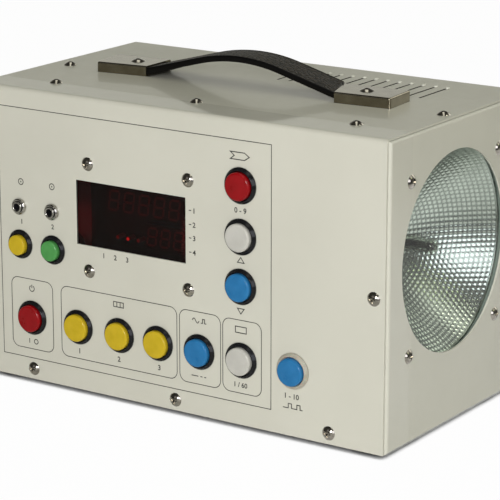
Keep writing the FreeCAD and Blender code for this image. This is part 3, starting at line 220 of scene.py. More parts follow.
finishes = {
    # name: darker and lighter colour, roughness, metallic, then blotch, grain and relief in mm
    # polyester powder coat on steel: warm off-white with a fine orange peel
    "powderCoat": ("#cfcdc1", "#d3d1c5", 0.45, 0, 60, 1.1, 0.006),
    # zinc plated sheet: cool grey with faint spangle
    "zincSheet": ("#8d8e8c", "#a9aaa6", 0.34, 1, 3, 0.6, 0.01),
    # nickel plated screws: warm bright metal with fine scuffs
    "nickelScrew": ("#8b867d", "#a8a399", 0.1, 1, 1.5, 0.5, 0.012),
    # nickel plated handle sheet: brownish bright metal
    "nickelSheet": ("#7a7361", "#8a8371", 0.16, 1, 6, 0.4, 0.006),
    # turned nickel nut
    "nickelNut": ("#8f8c86", "#bdbab3", 0.16, 1, 1.2, 0.4, 0.01),
    # black nylon of the switch bodies: deep black with a soft sheen
    "blackNylon": ("#121214", "#1a1a1d", 0.24, 0, 4, 0.5, 0.008),
    # nibs at the far ends of the slits: the coat again, glossy and painted lighter than it, a painted
    # highlight
    "nibHighlightCoat": ("#e3e3d8", "#e9e9df", 0.3, 0, 2, 0.8, 0.004),
    # milky moulded nylon of the odd switch body
    "milkyNylon": ("#a7a294", "#b7b2a4", 0.3, 0, 3, 0.5, 0.008),
    # moulded ABS caps
    "redCap": ("#88080f", "#930c14", 0.3, 0, 5, 0.5, 0.004),
    "yellowCap": ("#c3a71f", "#ccaf26", 0.32, 0, 5, 0.5, 0.004),
    "greenCap": ("#4a914c", "#529a53", 0.32, 0, 5, 0.5, 0.004),
    "blueCap": ("#246ea5", "#2b76ae", 0.3, 0, 5, 0.5, 0.004),
    "whiteCap": ("#bebcb6", "#c5c3bd", 0.32, 0, 5, 0.5, 0.004),
    # moulded rubber: dull near-black
    "rubber": ("#1b1b1a", "#232321", 0.75, 0, 3, 0.35, 0.03),
    # moulded silicone seal: soft grey-green
    "greySilicone": ("#6c7670", "#7b857e", 0.45, 0, 3, 0.4, 0.01),
    # black phenolic and nylon mouldings at the back and inside
    "blackMoulding": ("#18181a", "#212123", 0.42, 0, 5, 0.3, 0.02),
    # green solder mask over glass cloth
    "solderMask": ("#1d4a2c", "#25583a", 0.35, 0, 4, 0.7, 0.01),
    # varnished steel laminations
    "laminations": ("#2b2b2d", "#3d3c3a", 0.5, 1, 2, 0.35, 0.03),
    # yellow winding tape
    "windingTape": ("#b99638", "#cdaa4a", 0.4, 0, 6, 0.5, 0.02),
    # dark blue shrink sleeve of the capacitors
    "shrinkSleeve": ("#161b33", "#1f2542", 0.25, 0, 8, 0.8, 0.01),
    # blued spring strip
    "springSteel": ("#3c3f47", "#565a62", 0.3, 1, 5, 0.4, 0.008),
    # drawn nickel and tungsten wire
    "electrodeMetal": ("#57504a", "#7a7168", 0.28, 1, 1, 0.3, 0.01),
    # tin plated brass blades
    "blade": ("#b9b4a8", "#cfcabd", 0.25, 1, 2, 0.3, 0.008),
    # dark red epoxy of the numeral blocks
    "numeralBlock": ("#1c0506", "#250708", 0.3, 0, 4, 0.4, 0.005),
}
# shader sockets: those of two finishes, and those of all others
ownSockets = {"powderCoat": {"Coat Roughness": 0.07},
              "milkyNylon": {"Subsurface Weight": 0.2, "Subsurface Scale": 0.002}}
plainSockets = {"Specular IOR Level": 0.08, "Coat Weight": 0.3, "Coat Roughness": 0.07}
# contrast of the blotches; width in mm, contrast and share of the changes of gloss
finishSpread = {"blotch": (0.35, 0.65), "smear": 5, "gloss": (0.3, 0.7), "change": 0.12}


def makeFinish(name):
    # A finish of two near colours in soft blotches, an even grain in its surface and a little change of gloss.
    dark, light, rough, metallic, blotch, grain, relief = finishes[name]
    sockets = {"Metallic": metallic, "Roughness": rough, **ownSockets.get(name, plainSockets)}
    material, tree, shader = startMaterial(name, sockets)
    where, spread = ownPlace(tree), finishSpread
    blotches = steps(tree, noise(tree, where, blotch), *spread["blotch"])
    feed(shader, "Base Color", blendColours(tree, blotches, dark, light))
    least, most = rough * (1 - spread["change"]), min(1.0, rough * (1 + spread["change"]))
    feed(shader, "Roughness", steps(tree, noise(tree, where, spread["smear"]), *spread["gloss"], least, most))
    bump(tree, shader, noise(tree, where, grain, 2.0), relief)
    return material, tree, shader


# the crease of the lid and its gloss, then the painted shade in joints and slit walls: its reach, darkness,
# share on upright joints, ends and colour
lidCrease = {"depth": 20.6, "slope": 0.018, "blend": 0.3, "glossBehind": 0.3, "glossAhead": 0.7, "seam": 1.5,
             "deep": 0.08, "upright": 0.6, "ends": 6.0, "paintedShade": "#0b0b0a"}


def makePowderCoat():
    # The lid is drawn down along its front screws, so the sheet falls a hair from there to the front:
    # height = -slope * max(0, crease - y), under the orange peel. Joints and the long walls of the slits
    # get painted shade, darkest where little sky is seen: colour * (deep + (1 - deep) * openness), long walls
    # where |normal.x| is 1.
    # Upright joints are tighter and show less of it.
    look = lidCrease
    material, tree, shader = makeFinish("powderCoat")
    peel = shader.inputs["Normal"].links[0].from_node
    place = axes(tree, ownPlace(tree))
    facing = axes(tree, addNode(tree, "NewGeometry").outputs["Normal"])
    openness = addNode(tree, "AmbientOcclusion", {"Distance": look["seam"] * mm}).outputs["AO"]
    inside = calc(tree, "COMPARE", place["X"], 0.0, (halfLength - look["ends"]) * mm)
    wall = steps(tree, calc(tree, "ABSOLUTE", facing["X"]), 0.5, 0.9)
    slit = times(tree, wall, inside)
    upright = steps(tree, facing["Z"], 0.2, 0.6, look["upright"], 0.0)
    joint = mixLevels(tree, upright, steps(tree, openness, 0.3, 0.85), 1.0)
    clear = calc(tree, "SUBTRACT", joint, slit, clamp=True)
    # painted shade in the joints and on the long walls of the slits
    shade = steps(tree, clear, 0.0, 1.0, look["deep"], 1.0)
    plain = shader.inputs["Base Color"].links[0].from_socket
    feed(shader, "Base Color", blendColours(tree, shade, look["paintedShade"], plain))
    ahead = calc(tree, "SUBTRACT", (look["depth"] - halfDepth) * mm, place["Y"])
    gloss = steps(tree, ahead, 0.0, look["blend"] * mm, look["glossBehind"], look["glossAhead"])
    feed(shader, "Coat Weight", gloss)
    drop = times(tree, calc(tree, "MAXIMUM", ahead, 0.0), -look["slope"])
    tilt = addNode(tree, "Bump", {"Distance": 1.0, "Strength": 1.0}, {"Height": drop})
    feed(peel, "Normal", tilt.outputs["Normal"])
    return material


borderFacing = (0.66, 0.84)
paintedEndGlow = {"blend": 1.0, "tall": (5.5, 10.5), "beyond": 0.15}


def makeClearGlass(name, look):
    # Light passes with the colour of the glass: tint, slanted and border follow each other as it is seen more
    # edge on, and the outer side shines as Fresnel * shine. A ground rim scatters instead, and so does haze:
    # share = 1 where |normal.x| is below ground, haze elsewhere. A sheet gets a painted glow at its two ends,
    # as if lit
    # through its edges: the share held left and right of its ends, within a band about the middle height, all
    # in mm.
    material, tree, shader = startMaterial(name, {"Base Color": linear(look["rim"]), "Roughness": 0.6})
    where = ownPlace(tree)
    bump(tree, shader, noise(tree, where, look["ripple"], 1.0), look["relief"])
    facing = addNode(tree, "LayerWeight", {"Blend": 0.5}).outputs["Facing"]
    tint = blendColours(tree, steps(tree, facing, *look["core"]), look["tint"], look["slanted"])
    tint = blendColours(tree, steps(tree, facing, *borderFacing), tint, look["border"])
    clear = addNode(tree, "BsdfTransparent", None, {"Color": tint})
    sheen = addNode(tree, "BsdfGlossy", {"Roughness": look["rough"]})
    angle = addNode(tree, "Fresnel", {"IOR": look["ior"]}).outputs[0]
    geometry = addNode(tree, "NewGeometry").outputs
    outer = calc(tree, "SUBTRACT", look["shine"], geometry["Backfacing"], clamp=True)
    thin = mixShaders(tree, times(tree, angle, outer), clear, sheen)
    side = calc(tree, "ABSOLUTE", axes(tree, geometry["Normal"])["X"])
    dull = calc(tree, "MAXIMUM", calc(tree, "LESS_THAN", side, look["ground"]), look["haze"])
    # painted glow at the sheet's two ends
    if "ends" in look:
        left, right, middle, held = look["ends"]
        across, _, upwards = axes(tree, where)
        off = calc(tree, "ABSOLUTE", calc(tree, "SUBTRACT", upwards, middle * mm))
        band = steps(tree, off, paintedEndGlow["tall"][0] * mm, paintedEndGlow["tall"][1] * mm, 1.0, paintedEndGlow["beyond"])
        blend = paintedEndGlow["blend"]
        for end in (steps(tree, across, (left - blend) * mm, left * mm, held, 0.0),
                    steps(tree, across, right * mm, (right + blend) * mm, 0.0, held)):
            dull = calc(tree, "MAXIMUM", dull, times(tree, end, band))
    feed(tree.nodes["Material Output"], "Surface", mixShaders(tree, dull, thin, shader).outputs[0])
    return material


glasses = {
    # float glass over the lamp: clear with a faint green cast and a ground rim
    "lampGlass": {"tint": "#fafcf9", "slanted": "#f6f8f5", "rough": 0.02, "ior": 1.45, "ripple": 30,
                  "relief": 0.01, "shine": 0.7, "rim": "#87928b", "ground": 0.5, "haze": 0.0,
                  "core": (0.2, 0.9), "border": "#f2f6f2"},
    # quartz of the flash tube, wavy: darker in the middle and clearer where slanted, a painted reflection of
    # light lines along its sides; brown where it is seen edge on
    "tubeGlass": {"tint": "#b4b6ae", "slanted": "#fafcf8", "rough": 0.04, "ior": 1.6, "ripple": 20,
                  "relief": 0.01, "shine": 1.0, "rim": "#6a6c64", "ground": -1.0, "haze": 0.06,
                  "core": (0.16, 0.24), "border": "#4c4e48"},
    # dark red acrylic of the display window: its two ends get a painted glow of a lighter red
    "redAcrylic": {"tint": "#d06c6e", "slanted": "#c05a5c", "rough": 0.05, "ior": 1.49, "ripple": 40,
                   "relief": 0.01, "shine": 0.45, "rim": "#7a1218", "ground": -1.0, "haze": 0.0,
                   "core": (0.2, 0.9), "border": "#a84a4c", "ends": (-48.5, 4.5, 90.5, 0.09)},
}


reflectorLook = {"mouth": 51.9, "reach": 34.0, "eye": 9.0, "rim": 53.3, "gauge": 1.0, "faceX": 115.0,
                 "axisDepth": 61.3, "axisHeight": 85.5, "pitch": 2.4, "relief": 0.17, "inner": 11.0,
                 "outer": 51.6, "columns": 840, "rowsEach": 5}
# crown colours, a painted highlight, and groove colours, a painted shade: plain, in the calmer upper half, and
# near the top; the last two start and end at these heights above the axis in mm; then roughness from groove to
# crown, towards the top, and of the rim
reflectorTones = {"crown": ("#c4c8c6", "#d3d7d5"), "groove": "#8b928f", "calm": (8.0, 30.0),
                  "calmGroove": "#abb1ac", "dull": (26.0, 46.0), "dullCrown": "#a2a8a0",
                  "dullGroove": "#9aa098", "polish": (0.26, 0.12), "dullPolish": (0.1, 0.36),
                  "rimRough": 0.42}


def makeReflectorMetal():
    # Peened and anodised aluminium with a painted highlight on the crown of every pillow and painted shade,
    # dull green grey, in the
    # grooves: colour = groove + (crown - groove) * steps(pillow height), with a soft cloud over the crowns.
    # Towards the top of the bowl the painted highlights are duller and the painted shade in the grooves
    # differs less from them. The rolled rim is satin.
    tones = reflectorTones
    material, tree, shader = startMaterial("peenedAluminium", {"Metallic": 1.0, "Roughness": 0.16})
    where = ownPlace(tree)
    cloud = steps(tree, noise(tree, where, 9), 0.3, 0.7)
    crown = steps(tree, addNode(tree, "Attribute", {"attribute_name": "pillow"}).outputs["Fac"], 0.0, 0.8)
    place = axes(tree, where)
    aside = calc(tree, "SUBTRACT", place["Y"], (reflectorLook["axisDepth"] - halfDepth) * mm)
    above = calc(tree, "SUBTRACT", place["Z"], (reflectorLook["axisHeight"] + caseSize["feet"]) * mm)
    calm, dull = (steps(tree, above, low * mm, high * mm) for low, high in (tones["calm"], tones["dull"]))
    top = blendColours(tree, dull, blendColours(tree, cloud, *tones["crown"]), tones["dullCrown"])
    groove = blendColours(tree, calm, tones["groove"], tones["calmGroove"])
    groove = blendColours(tree, dull, groove, tones["dullGroove"])
    # painted highlight on the crowns and painted shade in the grooves
    feed(shader, "Base Color", blendColours(tree, crown, groove, top))
    polish = calc(tree, "MAXIMUM", steps(tree, crown, 0, 1, *tones["polish"]),
                  steps(tree, dull, 0, 1, *tones["dullPolish"]))
    flat = addNode(tree, "CombineXYZ", None, {0: aside, 1: above}).outputs[0]
    radius = measure(tree, "LENGTH", flat)
    edge = reflectorLook["mouth"]
    rough = mixLevels(tree, steps(tree, radius, (edge - 0.2) * mm, edge * mm), polish, tones["rimRough"])
    feed(shader, "Roughness", rough)
    bump(tree, shader, noise(tree, where, 3.0, 1.0), 0.01)
    return material


strapVinyl = {"grain": 2.4, "groove": 0.22, "dark": "#070606", "light": "#3d3730", "side": 0.3, "top": 0.5,
              "relief": 0.3}
inkLook = {"dark": "#1f1e1c", "light": "#34322e", "wear": 0.8, "grain": 0.3, "relief": 0.004}


def makeStrapVinyl():
    # Embossed vinyl over a moulded strap: black with a leather grain on top and plain glossy sides.
    look = strapVinyl
    material, tree, shader = startMaterial("embossedVinyl", {"Roughness": 0.45, "Specular IOR Level": 0.2})
    way = addNode(tree, "UVMap", {"uv_map": "strapWay"}).outputs["UV"]
    settings = {"Scale": 1 / look["grain"], "feature": "DISTANCE_TO_EDGE"}
    grain = addNode(tree, "TexVoronoi", settings, {"Vector": way})
    face = addNode(tree, "Attribute", {"attribute_name": "strapTop"}).outputs["Fac"]
    relief = times(tree, steps(tree, grain.outputs["Distance"], 0.0, look["groove"]), face)
    feed(shader, "Base Color", blendColours(tree, relief, look["dark"], look["light"]))
    feed(shader, "Roughness", steps(tree, face, 0, 1, look["side"], look["top"]))
    bump(tree, shader, relief, look["relief"])
    return material


def makeInk():
    # Screen-printed enamel ink: thin dark grey with a slightly starved edge.
    look = inkLook
    material, tree, shader = startMaterial("screenInk", {"Roughness": 0.5})
    where = ownPlace(tree)
    worn = steps(tree, noise(tree, where, look["wear"]), 0.3, 0.75)
    feed(shader, "Base Color", blendColours(tree, worn, look["dark"], look["light"]))
    bump(tree, shader, noise(tree, where, look["grain"]), look["relief"])
    return material


# lamps and numerals, resting or lit: colour and strength of their own light
glows = {"lampEpoxy": ("#5a0a0c", 0.0), "segmentEpoxy": ("#5c1013", 0.0), "dimDiode": ("#b01418", 0.16),
         "litDiode": ("#ff8c80", 0.8)}


def makeGlow(name):
    # A light-emitting diode behind tinted epoxy that is a little cloudy.
    colour, strength = glows[name]
    sockets = {"Roughness": 0.3, "Emission Color": linear(colour), "Emission Strength": strength}
    material, tree, shader = startMaterial(name, sockets)
    cloud = steps(tree, noise(tree, ownPlace(tree), 1.5), 0.2, 0.8, 0.7, 1.0)
    feed(shader, "Base Color", blendColours(tree, cloud, "#300406", colour))
    return material


# mesh helpers

def gridFaces(rows, columns, wrapRows, wrapColumns):
    # four-sided faces between neighbouring rows and columns
    i = np.arange(rows if wrapRows else rows - 1)[:, None]
    j = np.arange(columns if wrapColumns else columns - 1)[None, :]
    after, beside = (i + 1) % rows, (j + 1) % columns
    return np.stack([i * columns + j, i * columns + beside, after * columns + beside, after * columns + j],
                    -1).reshape(-1, 4)


def outwardFaces(points, faces):
    # a closed shape's signed volume tells which way its faces point
    a, b, c, d = (points[faces[:, k]] for k in range(4))
    volume = np.einsum("ij,ij->", a, np.cross(b, c)) + np.einsum("ij,ij->", a, np.cross(c, d))
    return faces if volume > 0 else faces[:, ::-1]


def surface(grid, wrapRows):
    # a grid of places, its columns closed in a ring, as points and outward faces
    points = grid.reshape(-1, 3)
    return points, outwardFaces(points, gridFaces(*grid.shape[:2], wrapRows, True))


def joinParts(parts):
    points, faces, start = [], [], 0
    for somePoints, someFaces in parts:
        points.append(somePoints)
        faces.append(someFaces + start)
        start += len(somePoints)
    return np.concatenate(points), np.concatenate(faces)


def vertexPlaces(mesh):
    places = np.zeros(len(mesh.vertices) * 3)
    mesh.vertices.foreach_get("co", places)
    return places.reshape(-1, 3)


def placePiece(mesh, material, body="case"):
    mesh.materials.append(material)
    piece = addObject(mesh.name, mesh)
    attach(piece, body)
    return piece


def newMesh(name, points, faces):
    mesh = bpy.data.meshes.new(name)
    mesh.from_pydata(points.tolist(), [], faces)
    return mesh


def makePiece(name, points, faces, material, slot, body="case", smooth=True, weld=True, outwards=False):
    mesh = newMesh(name, points, faces.tolist())
    if weld:
        work = bmesh.new()
        work.from_mesh(mesh)
        bmesh.ops.remove_doubles(work, verts=work.verts, dist=1e-6)
        bmesh.ops.dissolve_degenerate(work, edges=work.edges, dist=1e-7)
        if outwards:
            bmesh.ops.recalc_face_normals(work, faces=work.faces)
        work.to_mesh(mesh)
        work.free()
    mesh.polygons.foreach_set("use_smooth", np.full(len(mesh.polygons), smooth))
    mesh.update()
    piece = placePiece(mesh, material, body)
    return piece


def turnedPart(profile, x, z, columns=72):
    # a closed (radius, height in front of the panel) profile turned about a line along Y
    profile = np.array(profile, float)
    turn = np.linspace(0, 2 * np.pi, columns, endpoint=False)
    radius, out = profile.T[:, :, None]
    return surface(onCase(x + radius * np.cos(turn), -out, z + radius * np.sin(turn)), True)


def roundedCorner(centre, radius, start, end, count=6):
    angle = np.radians(np.linspace(start, end, count))
    return [(centre[0] + radius * math.cos(a), centre[1] + radius * math.sin(a)) for a in angle]


# lamp reflector

def makeReflector(material):
    # Bowl: x = reach * (radius / mouth) ^ 2. Pillows: (1 - a^2)(1 - b^2) on cells as wide as they are long,
    # counted afresh for every ring and lined up along the bowl's level radius.
    look = reflectorLook
    base = look["faceX"] - look["reach"]

    def slope(r):
        return 2 * look["reach"] * r / look["mouth"] ** 2

    def depth(r):
        return base + look["reach"] * (r / look["mouth"]) ** 2

    radius = np.linspace(look["inner"], look["outer"], 4000)
    length = np.concatenate([[0], np.cumsum(np.hypot(np.diff(radius), np.diff(radius) * slope(radius)[1:]))])
    rings = int(round(length[-1] / look["pitch"]))
    along = np.linspace(0, rings, rings * look["rowsEach"] + 1)
    ringRadius = np.interp(along / rings * length[-1], length, radius)
    turn = np.linspace(0, 2 * np.pi, look["columns"], endpoint=False)
    ring = np.minimum(np.floor(along + 1e-9), rings - 1)
    middleRadius = np.interp((ring + 0.5) / rings * length[-1], length, radius)
    cells = np.round(2 * np.pi * middleRadius / look["pitch"])
    a = 2 * np.mod(along, 1.0) - 1
    phase = cells[:, None] * turn / (2 * np.pi) + 0.5
    b = 2 * np.mod(phase, 1.0) - 1
    height = look["relief"] * (1 - a ** 2)[:, None] * (1 - b ** 2)
    steep = np.hypot(1, slope(ringRadius))
    pillowX = depth(ringRadius)[:, None] + height * (1 / steep)[:, None]
    pillowR = ringRadius[:, None] + height * (-slope(ringRadius) / steep)[:, None]

    def bowl(radii, back):
        radii = np.array(radii)
        return (depth(radii) - back)[:, None] + 0 * turn, radii[:, None] + 0 * turn

    sections = [bowl([look["eye"], 10.0], 0), (pillowX, pillowR),
                bowl([look["mouth"] - 0.03, look["mouth"]], 0)]
    flat = [(0.0, look["mouth"] + 0.03), (0.0, look["rim"]), (-look["gauge"], look["rim"])]
    sections += [(np.full((1, len(turn)), look["faceX"] + dx), np.full((1, len(turn)), r)) for dx, r in flat]
    sections.append(bowl([look["mouth"], 40, 30, 20, look["eye"]], look["gauge"]))
    x = np.concatenate([section[0] for section in sections])
    r = np.concatenate([section[1] for section in sections])
    y = look["axisDepth"] - halfDepth + r * np.cos(turn)
    z = look["axisHeight"] + caseSize["feet"] + r * np.sin(turn)
    points, faces = surface(np.stack([x, y, z], -1) * mm, True)
    piece = makePiece("reflectorBowl", points, faces, material, "reflector_aluminium", weld=False)
    pillow = np.full((len(x), len(turn)), 0.6, np.float32)
    pillow[2:2 + len(pillowX)] = height / look["relief"]
    piece.data.attributes.new("pillow", "FLOAT", "POINT").data.foreach_set("value", pillow.ravel())
    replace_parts(piece, "reflector")
    print("reflector:", rings, "rings,", len(faces), "faces")


# strap handle

strapLook = {"shift": -0.8, "width": 19.4, "gauge": 3.1, "archRise": 13.0, "archRadius": 91.5, "slope": 15.1,
             "footRadius": 30.0, "end": 83.4, "capHeight": 5.2, "round": 0.7, "crown": 0.25, "topWidth": 9.1,
             "tongue": 7.5, "tongueStart": 55.9, "tongueEarly": 49.2, "lip": 4.25, "capHalf": 10.8, "gap": 0.4,
             "margin": 0.4, "topLift": 0.8, "rows": 160}
# each cap: side of the case, screw's reach, turn, and reach of its mouth before and behind its screw
strapCaps = [(-1, 67.8, 7.5, 10.3, 13.0), (1, 67.8, 4.0, 12.1, 17.5)]
# the wedge's two ends as (along, bottom, top), the last two above the lid
strapHeel = {"ends": [(-55.8, 0.75, 2.25), (-42.6, 4.15, 5.35)], "half": 9.55}


def strapPath(count):
    # Half of the path: arc over the middle, slope, reversed arc and flat end; the other half mirrors it.
    look = strapLook
    slope = math.radians(look["slope"])
    crown = caseSize["height"] + look["archRise"] + look["gauge"] / 2
    flat = caseSize["height"] + look["capHeight"] / 2
    radii = look["archRadius"] + look["footRadius"]
    run = (crown - flat - radii * (1 - math.cos(slope))) / math.sin(slope)
    lengths = np.array([look["archRadius"] * slope, run, look["footRadius"] * slope])
    hubX = radii * math.sin(slope) + run * math.cos(slope)
    lengths = np.append(lengths, look["end"] - hubX)
    marks = np.concatenate([[0], np.cumsum(lengths)])
    s = np.linspace(0, marks[-1], count)
    angle = np.interp(s, marks, [0, slope, slope, 0, 0])
    x = np.concatenate([[0], np.cumsum(np.diff(s) * np.cos((angle[1:] + angle[:-1]) / 2))])
    z = crown - np.concatenate([[0], np.cumsum(np.diff(s) * np.sin((angle[1:] + angle[:-1]) / 2))])
    s, x, angle = (np.concatenate([-half[:0:-1], half]) for half in (s, x, angle))
    return s, x, np.concatenate([z[:0:-1], z]), angle


def underLips(x, y, z):
    # Within a small gap of a cap the top of the strap is pressed down to the cap's lip.
    half = strapLook["capHalf"]
    for side, reach, turn, front, back in strapCaps:
        turn = math.radians(turn)
        alongCap = -side * ((x - side * reach) * math.cos(turn) + y * math.sin(turn))
        acrossCap = y * math.cos(turn) - (x - side * reach) * math.sin(turn)
        mouth = np.interp(acrossCap, [-half, half], [front, back]) + strapLook["gap"]
        z = np.where(alongCap < mouth, np.minimum(z, caseSize["height"] + strapLook["lip"]), z)
    return z


def makeHeel(material):
    # A wedge under the strap where it leaves the left cap.
    (start, startLow, startHigh), (end, endLow, endHigh) = strapHeel["ends"]
    x = np.array([start, end, end, start]) + strapLook["shift"] + halfLength
    z = np.array([startLow, endLow, endHigh, startHigh]) + caseSize["height"]
    points = np.concatenate([onCase(x, halfDepth + side * strapHeel["half"], z) for side in (-1, 1)])
    faces = np.concatenate([gridFaces(2, 4, False, True), [[0, 1, 2, 3], [7, 6, 5, 4]]])
    makePiece("strapHeel", points, outwardFaces(points, faces), material, "strap_black", smooth=False)


def makeStrap(material):
    # Section: a flat bar with rounded edges and a crowned top, narrowed to a tongue inside the caps.
    look = strapLook
    half, thick, edge = look["width"] / 2, look["gauge"] / 2, look["round"]
    level = half - edge - look["margin"]
    upper = [(y, thick - look["crown"] * (y / half) ** 2) for y in np.linspace(-level, level, 25)]
    shoulders = (roundedCorner((half - edge, thick - edge), edge, 90, 0)
                 + roundedCorner((half - edge, edge - thick), edge, 0, -90))
    lower = [(y, -thick) for y in np.linspace(level, -level, 9)]
    section = np.array(upper + shoulders + lower + [(-y, -z) for y, z in shoulders])
    s, pathX, pathZ, angle = strapPath(look["rows"])
    middle = look["shift"] + halfLength
    x = pathX[:, None] + section[:, 1] * np.sin(angle)[:, None]
    z = pathZ[:, None] + section[:, 1] * np.cos(angle)[:, None]
    out = section[:, 0] + 0 * x
    early = np.where(out > 0, look["tongueEarly"], look["tongueStart"])
    narrowed = (pathX[:, None] < -look["tongueStart"]) | (pathX[:, None] > early)
    out = np.where(narrowed, out * look["tongue"] / half, out)
    parts = [surface(onCase(x + middle, halfDepth + out, underLips(x, out, z)), False)]
    points = parts[0][0]
    for row in (0, len(s) - 1):
        ring = points[row * len(section):(row + 1) * len(section)]
        closing = gridFaces(2, len(section), False, True)
        hub = np.repeat(ring.mean(0)[None], len(section), 0)
        parts.append((np.concatenate([ring, hub]), closing if row == 0 else closing[:, ::-1]))
    piece = makePiece("strapCover", *joinParts(parts), material, "strap_black", outwards=True)
    mesh = piece.data
    # the grain runs along the strap and only on its top
    place = vertexPlaces(mesh) / mm
    along = place[:, 0] - look["shift"]
    lift = place[:, 2] - np.interp(along, pathX, pathZ) - caseSize["feet"]
    onTop = ((lift > look["topLift"]) & (np.abs(place[:, 1]) < look["topWidth"])).astype(np.float32)
    mesh.attributes.new("strapTop", "FLOAT", "POINT").data.foreach_set("value", onTop)
    corners = np.zeros(len(mesh.loops), int)
    mesh.loops.foreach_get("vertex_index", corners)
    way = np.stack([np.interp(along, pathX, s)[corners], place[corners, 1]], -1)
    mesh.uv_layers.new(name="strapWay").data.foreach_set("uv", way.ravel())
    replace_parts(piece, "handle_strap")


# push buttons

buttonRow = 33.0
buttonColumn = 159.6
bigButtons = {
    "power_button": (33.4, buttonRow, "redCap"), "memory_1_button": (62.5, buttonRow, "yellowCap"),
    "memory_2_button": (87.8, buttonRow, "yellowCap"), "memory_3_button": (111.2, buttonRow, "yellowCap"),
    "mode_button": (135.6, buttonRow, "blueCap"), "display_button": (159.9, buttonRow, "whiteCap"),
    "pulse_button": (189.0, buttonRow, "blueCap"), "unit_button": (buttonColumn, 118.4, "redCap"),
    "up_button": (buttonColumn, 93.7, "whiteCap"), "down_button": (buttonColumn, 69.4, "blueCap"),
}
smallButtons = {"start_button": (27.0, 70.4, "yellowCap"), "stop_button": (47.5, 70.4, "greenCap")}
buttonLook = {
    "big": {"cap": 6.85, "proud": 4.0, "dome": 0.22, "round": 1.05, "skirt": 9.0, "bezel": 8.85, "crown": 7.95,
            "bore": 7.15, "rise": 2.0, "barrel": 7.85, "reach": 20.0},
    "small": {"cap": 5.1, "proud": 4.3, "dome": 0.18, "round": 0.9, "skirt": 9.0, "bezel": 7.4, "crown": 6.5,
              "bore": 5.4, "rise": 2.0, "barrel": 5.85, "reach": 18.0},
}
# mesh, node it replaces, size, finish, slot and buttons that it holds
bezels = [
    ("bigBezels", "button_bodies", "big", "blackNylon", "button_black",
     [name for name in bigButtons if name != "pulse_button"]),
    ("milkyBezel", "pulse_button_body", "big", "milkyNylon", "button_clear", ["pulse_button"]),
    ("smallBezels", "small_button_bodies", "small", "blackNylon", "button_black", smallButtons),
]


def capProfile(look):
    # Face: height = proud - dome * (radius / flat) ^ 2, then a rounded shoulder and a hollow skirt.
    flat, inside, web = look["cap"] - look["round"], look["cap"] - 1.3, look["proud"] - 1.6
    face = [(r, look["proud"] - look["dome"] * (r / look["cap"]) ** 2) for r in np.linspace(0, flat, 8)]
    edge = face[-1][1] - look["round"]
    shoulder = roundedCorner((flat, edge), look["round"], 84, 0, 9)
    return face + shoulder + [(look["cap"], -look["skirt"]), (inside, -look["skirt"]), (inside, web), (0, web)]


def bezelProfile(look):
    # Foot, sloped ring with a rolled lip, bore and barrel behind the panel.
    lip = roundedCorner((look["bezel"] - 0.35, 0.4), 0.35, 0, 60, 5)
    rolled = roundedCorner((look["crown"] - 0.3, look["rise"] - 0.4), 0.4, 50, 110, 6)
    throat = [(look["bore"] + 0.25, look["rise"] - 0.02), (look["bore"], look["rise"] - 0.25)]
    back = -look["reach"]
    return ([(look["barrel"], 0.0), (look["bezel"], 0.0)] + lip + rolled + throat
            + [(look["bore"], back + 2), (0, back + 2), (0, back), (look["barrel"], back)])


ventNibs = {"firstX": 122.4, "pitch": 6.8, "count": 13, "y": 116.2, "half": (1.05, 1.6, 0.8),
            "sunk": 0.05}
jackCollar = {"places": [(27.0, 89.9), (47.5, 89.9)], "middle": 2.4, "half": 0.58, "seat": 2.62, "rise": 0.34}


def makeVentNibs(material):
    # The press leaves a rounded nib of paint and metal at the far end of every slit. The first row of its
    # mesh closes the base at the centre and the last one closes the top.
    look = ventNibs
    rise = np.radians(np.linspace(0, 90, 7))
    turn = np.radians(np.arange(0, 360, 15))[None, :]
    flat, up = (np.concatenate([[0.0], part])[:, None] for part in (np.cos(rise), np.sin(rise)))
    nibs = []
    for number in range(look["count"]):
        x = look["firstX"] + number * look["pitch"] + look["half"][0] * flat * np.cos(turn)
        y = look["y"] + look["half"][1] * flat * np.sin(turn)
        nibs.append(surface(onCase(x, y, caseSize["height"] - look["sunk"] + look["half"][2] * up), False))
    # the nibs are coated lighter than the lid, a painted highlight
    makePiece("ventNibs", *joinParts(nibs), material, "case_paint")


def makeJackCollars(material):
    # A bright rounded collar on the front of each jack, round its bore.
    look = jackCollar
    angle = np.radians(np.linspace(180, 0, 11))
    profile = np.stack([look["middle"] + look["half"] * np.cos(angle),
                        look["seat"] + look["rise"] * np.sin(angle)], -1)
    rings = [turnedPart(profile, x, z, 48) for x, z in look["places"]]
    makePiece("jackCollars", *joinParts(rings), material, "jack_nickel")


def makeButtons(made):
    places = {**bigButtons, **smallButtons}
    for name, (x, z, finish) in places.items():
        look = buttonLook["big" if name in bigButtons else "small"]
        shape = turnedPart(capProfile(look), x, z)
        slot = "cap_" + finish.replace("Cap", "")
        piece = makePiece(name.replace("_button", "Cap"), *shape, made[finish], slot, body=name)
        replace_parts(piece, name)
    for mesh, node, size, finish, slot, held in bezels:
        rings = [turnedPart(bezelProfile(buttonLook[size]), *places[name][:2]) for name in held]
        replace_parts(makePiece(mesh, *joinParts(rings), made[finish], slot), node)
    print("buttons:", len(places))


# panel print

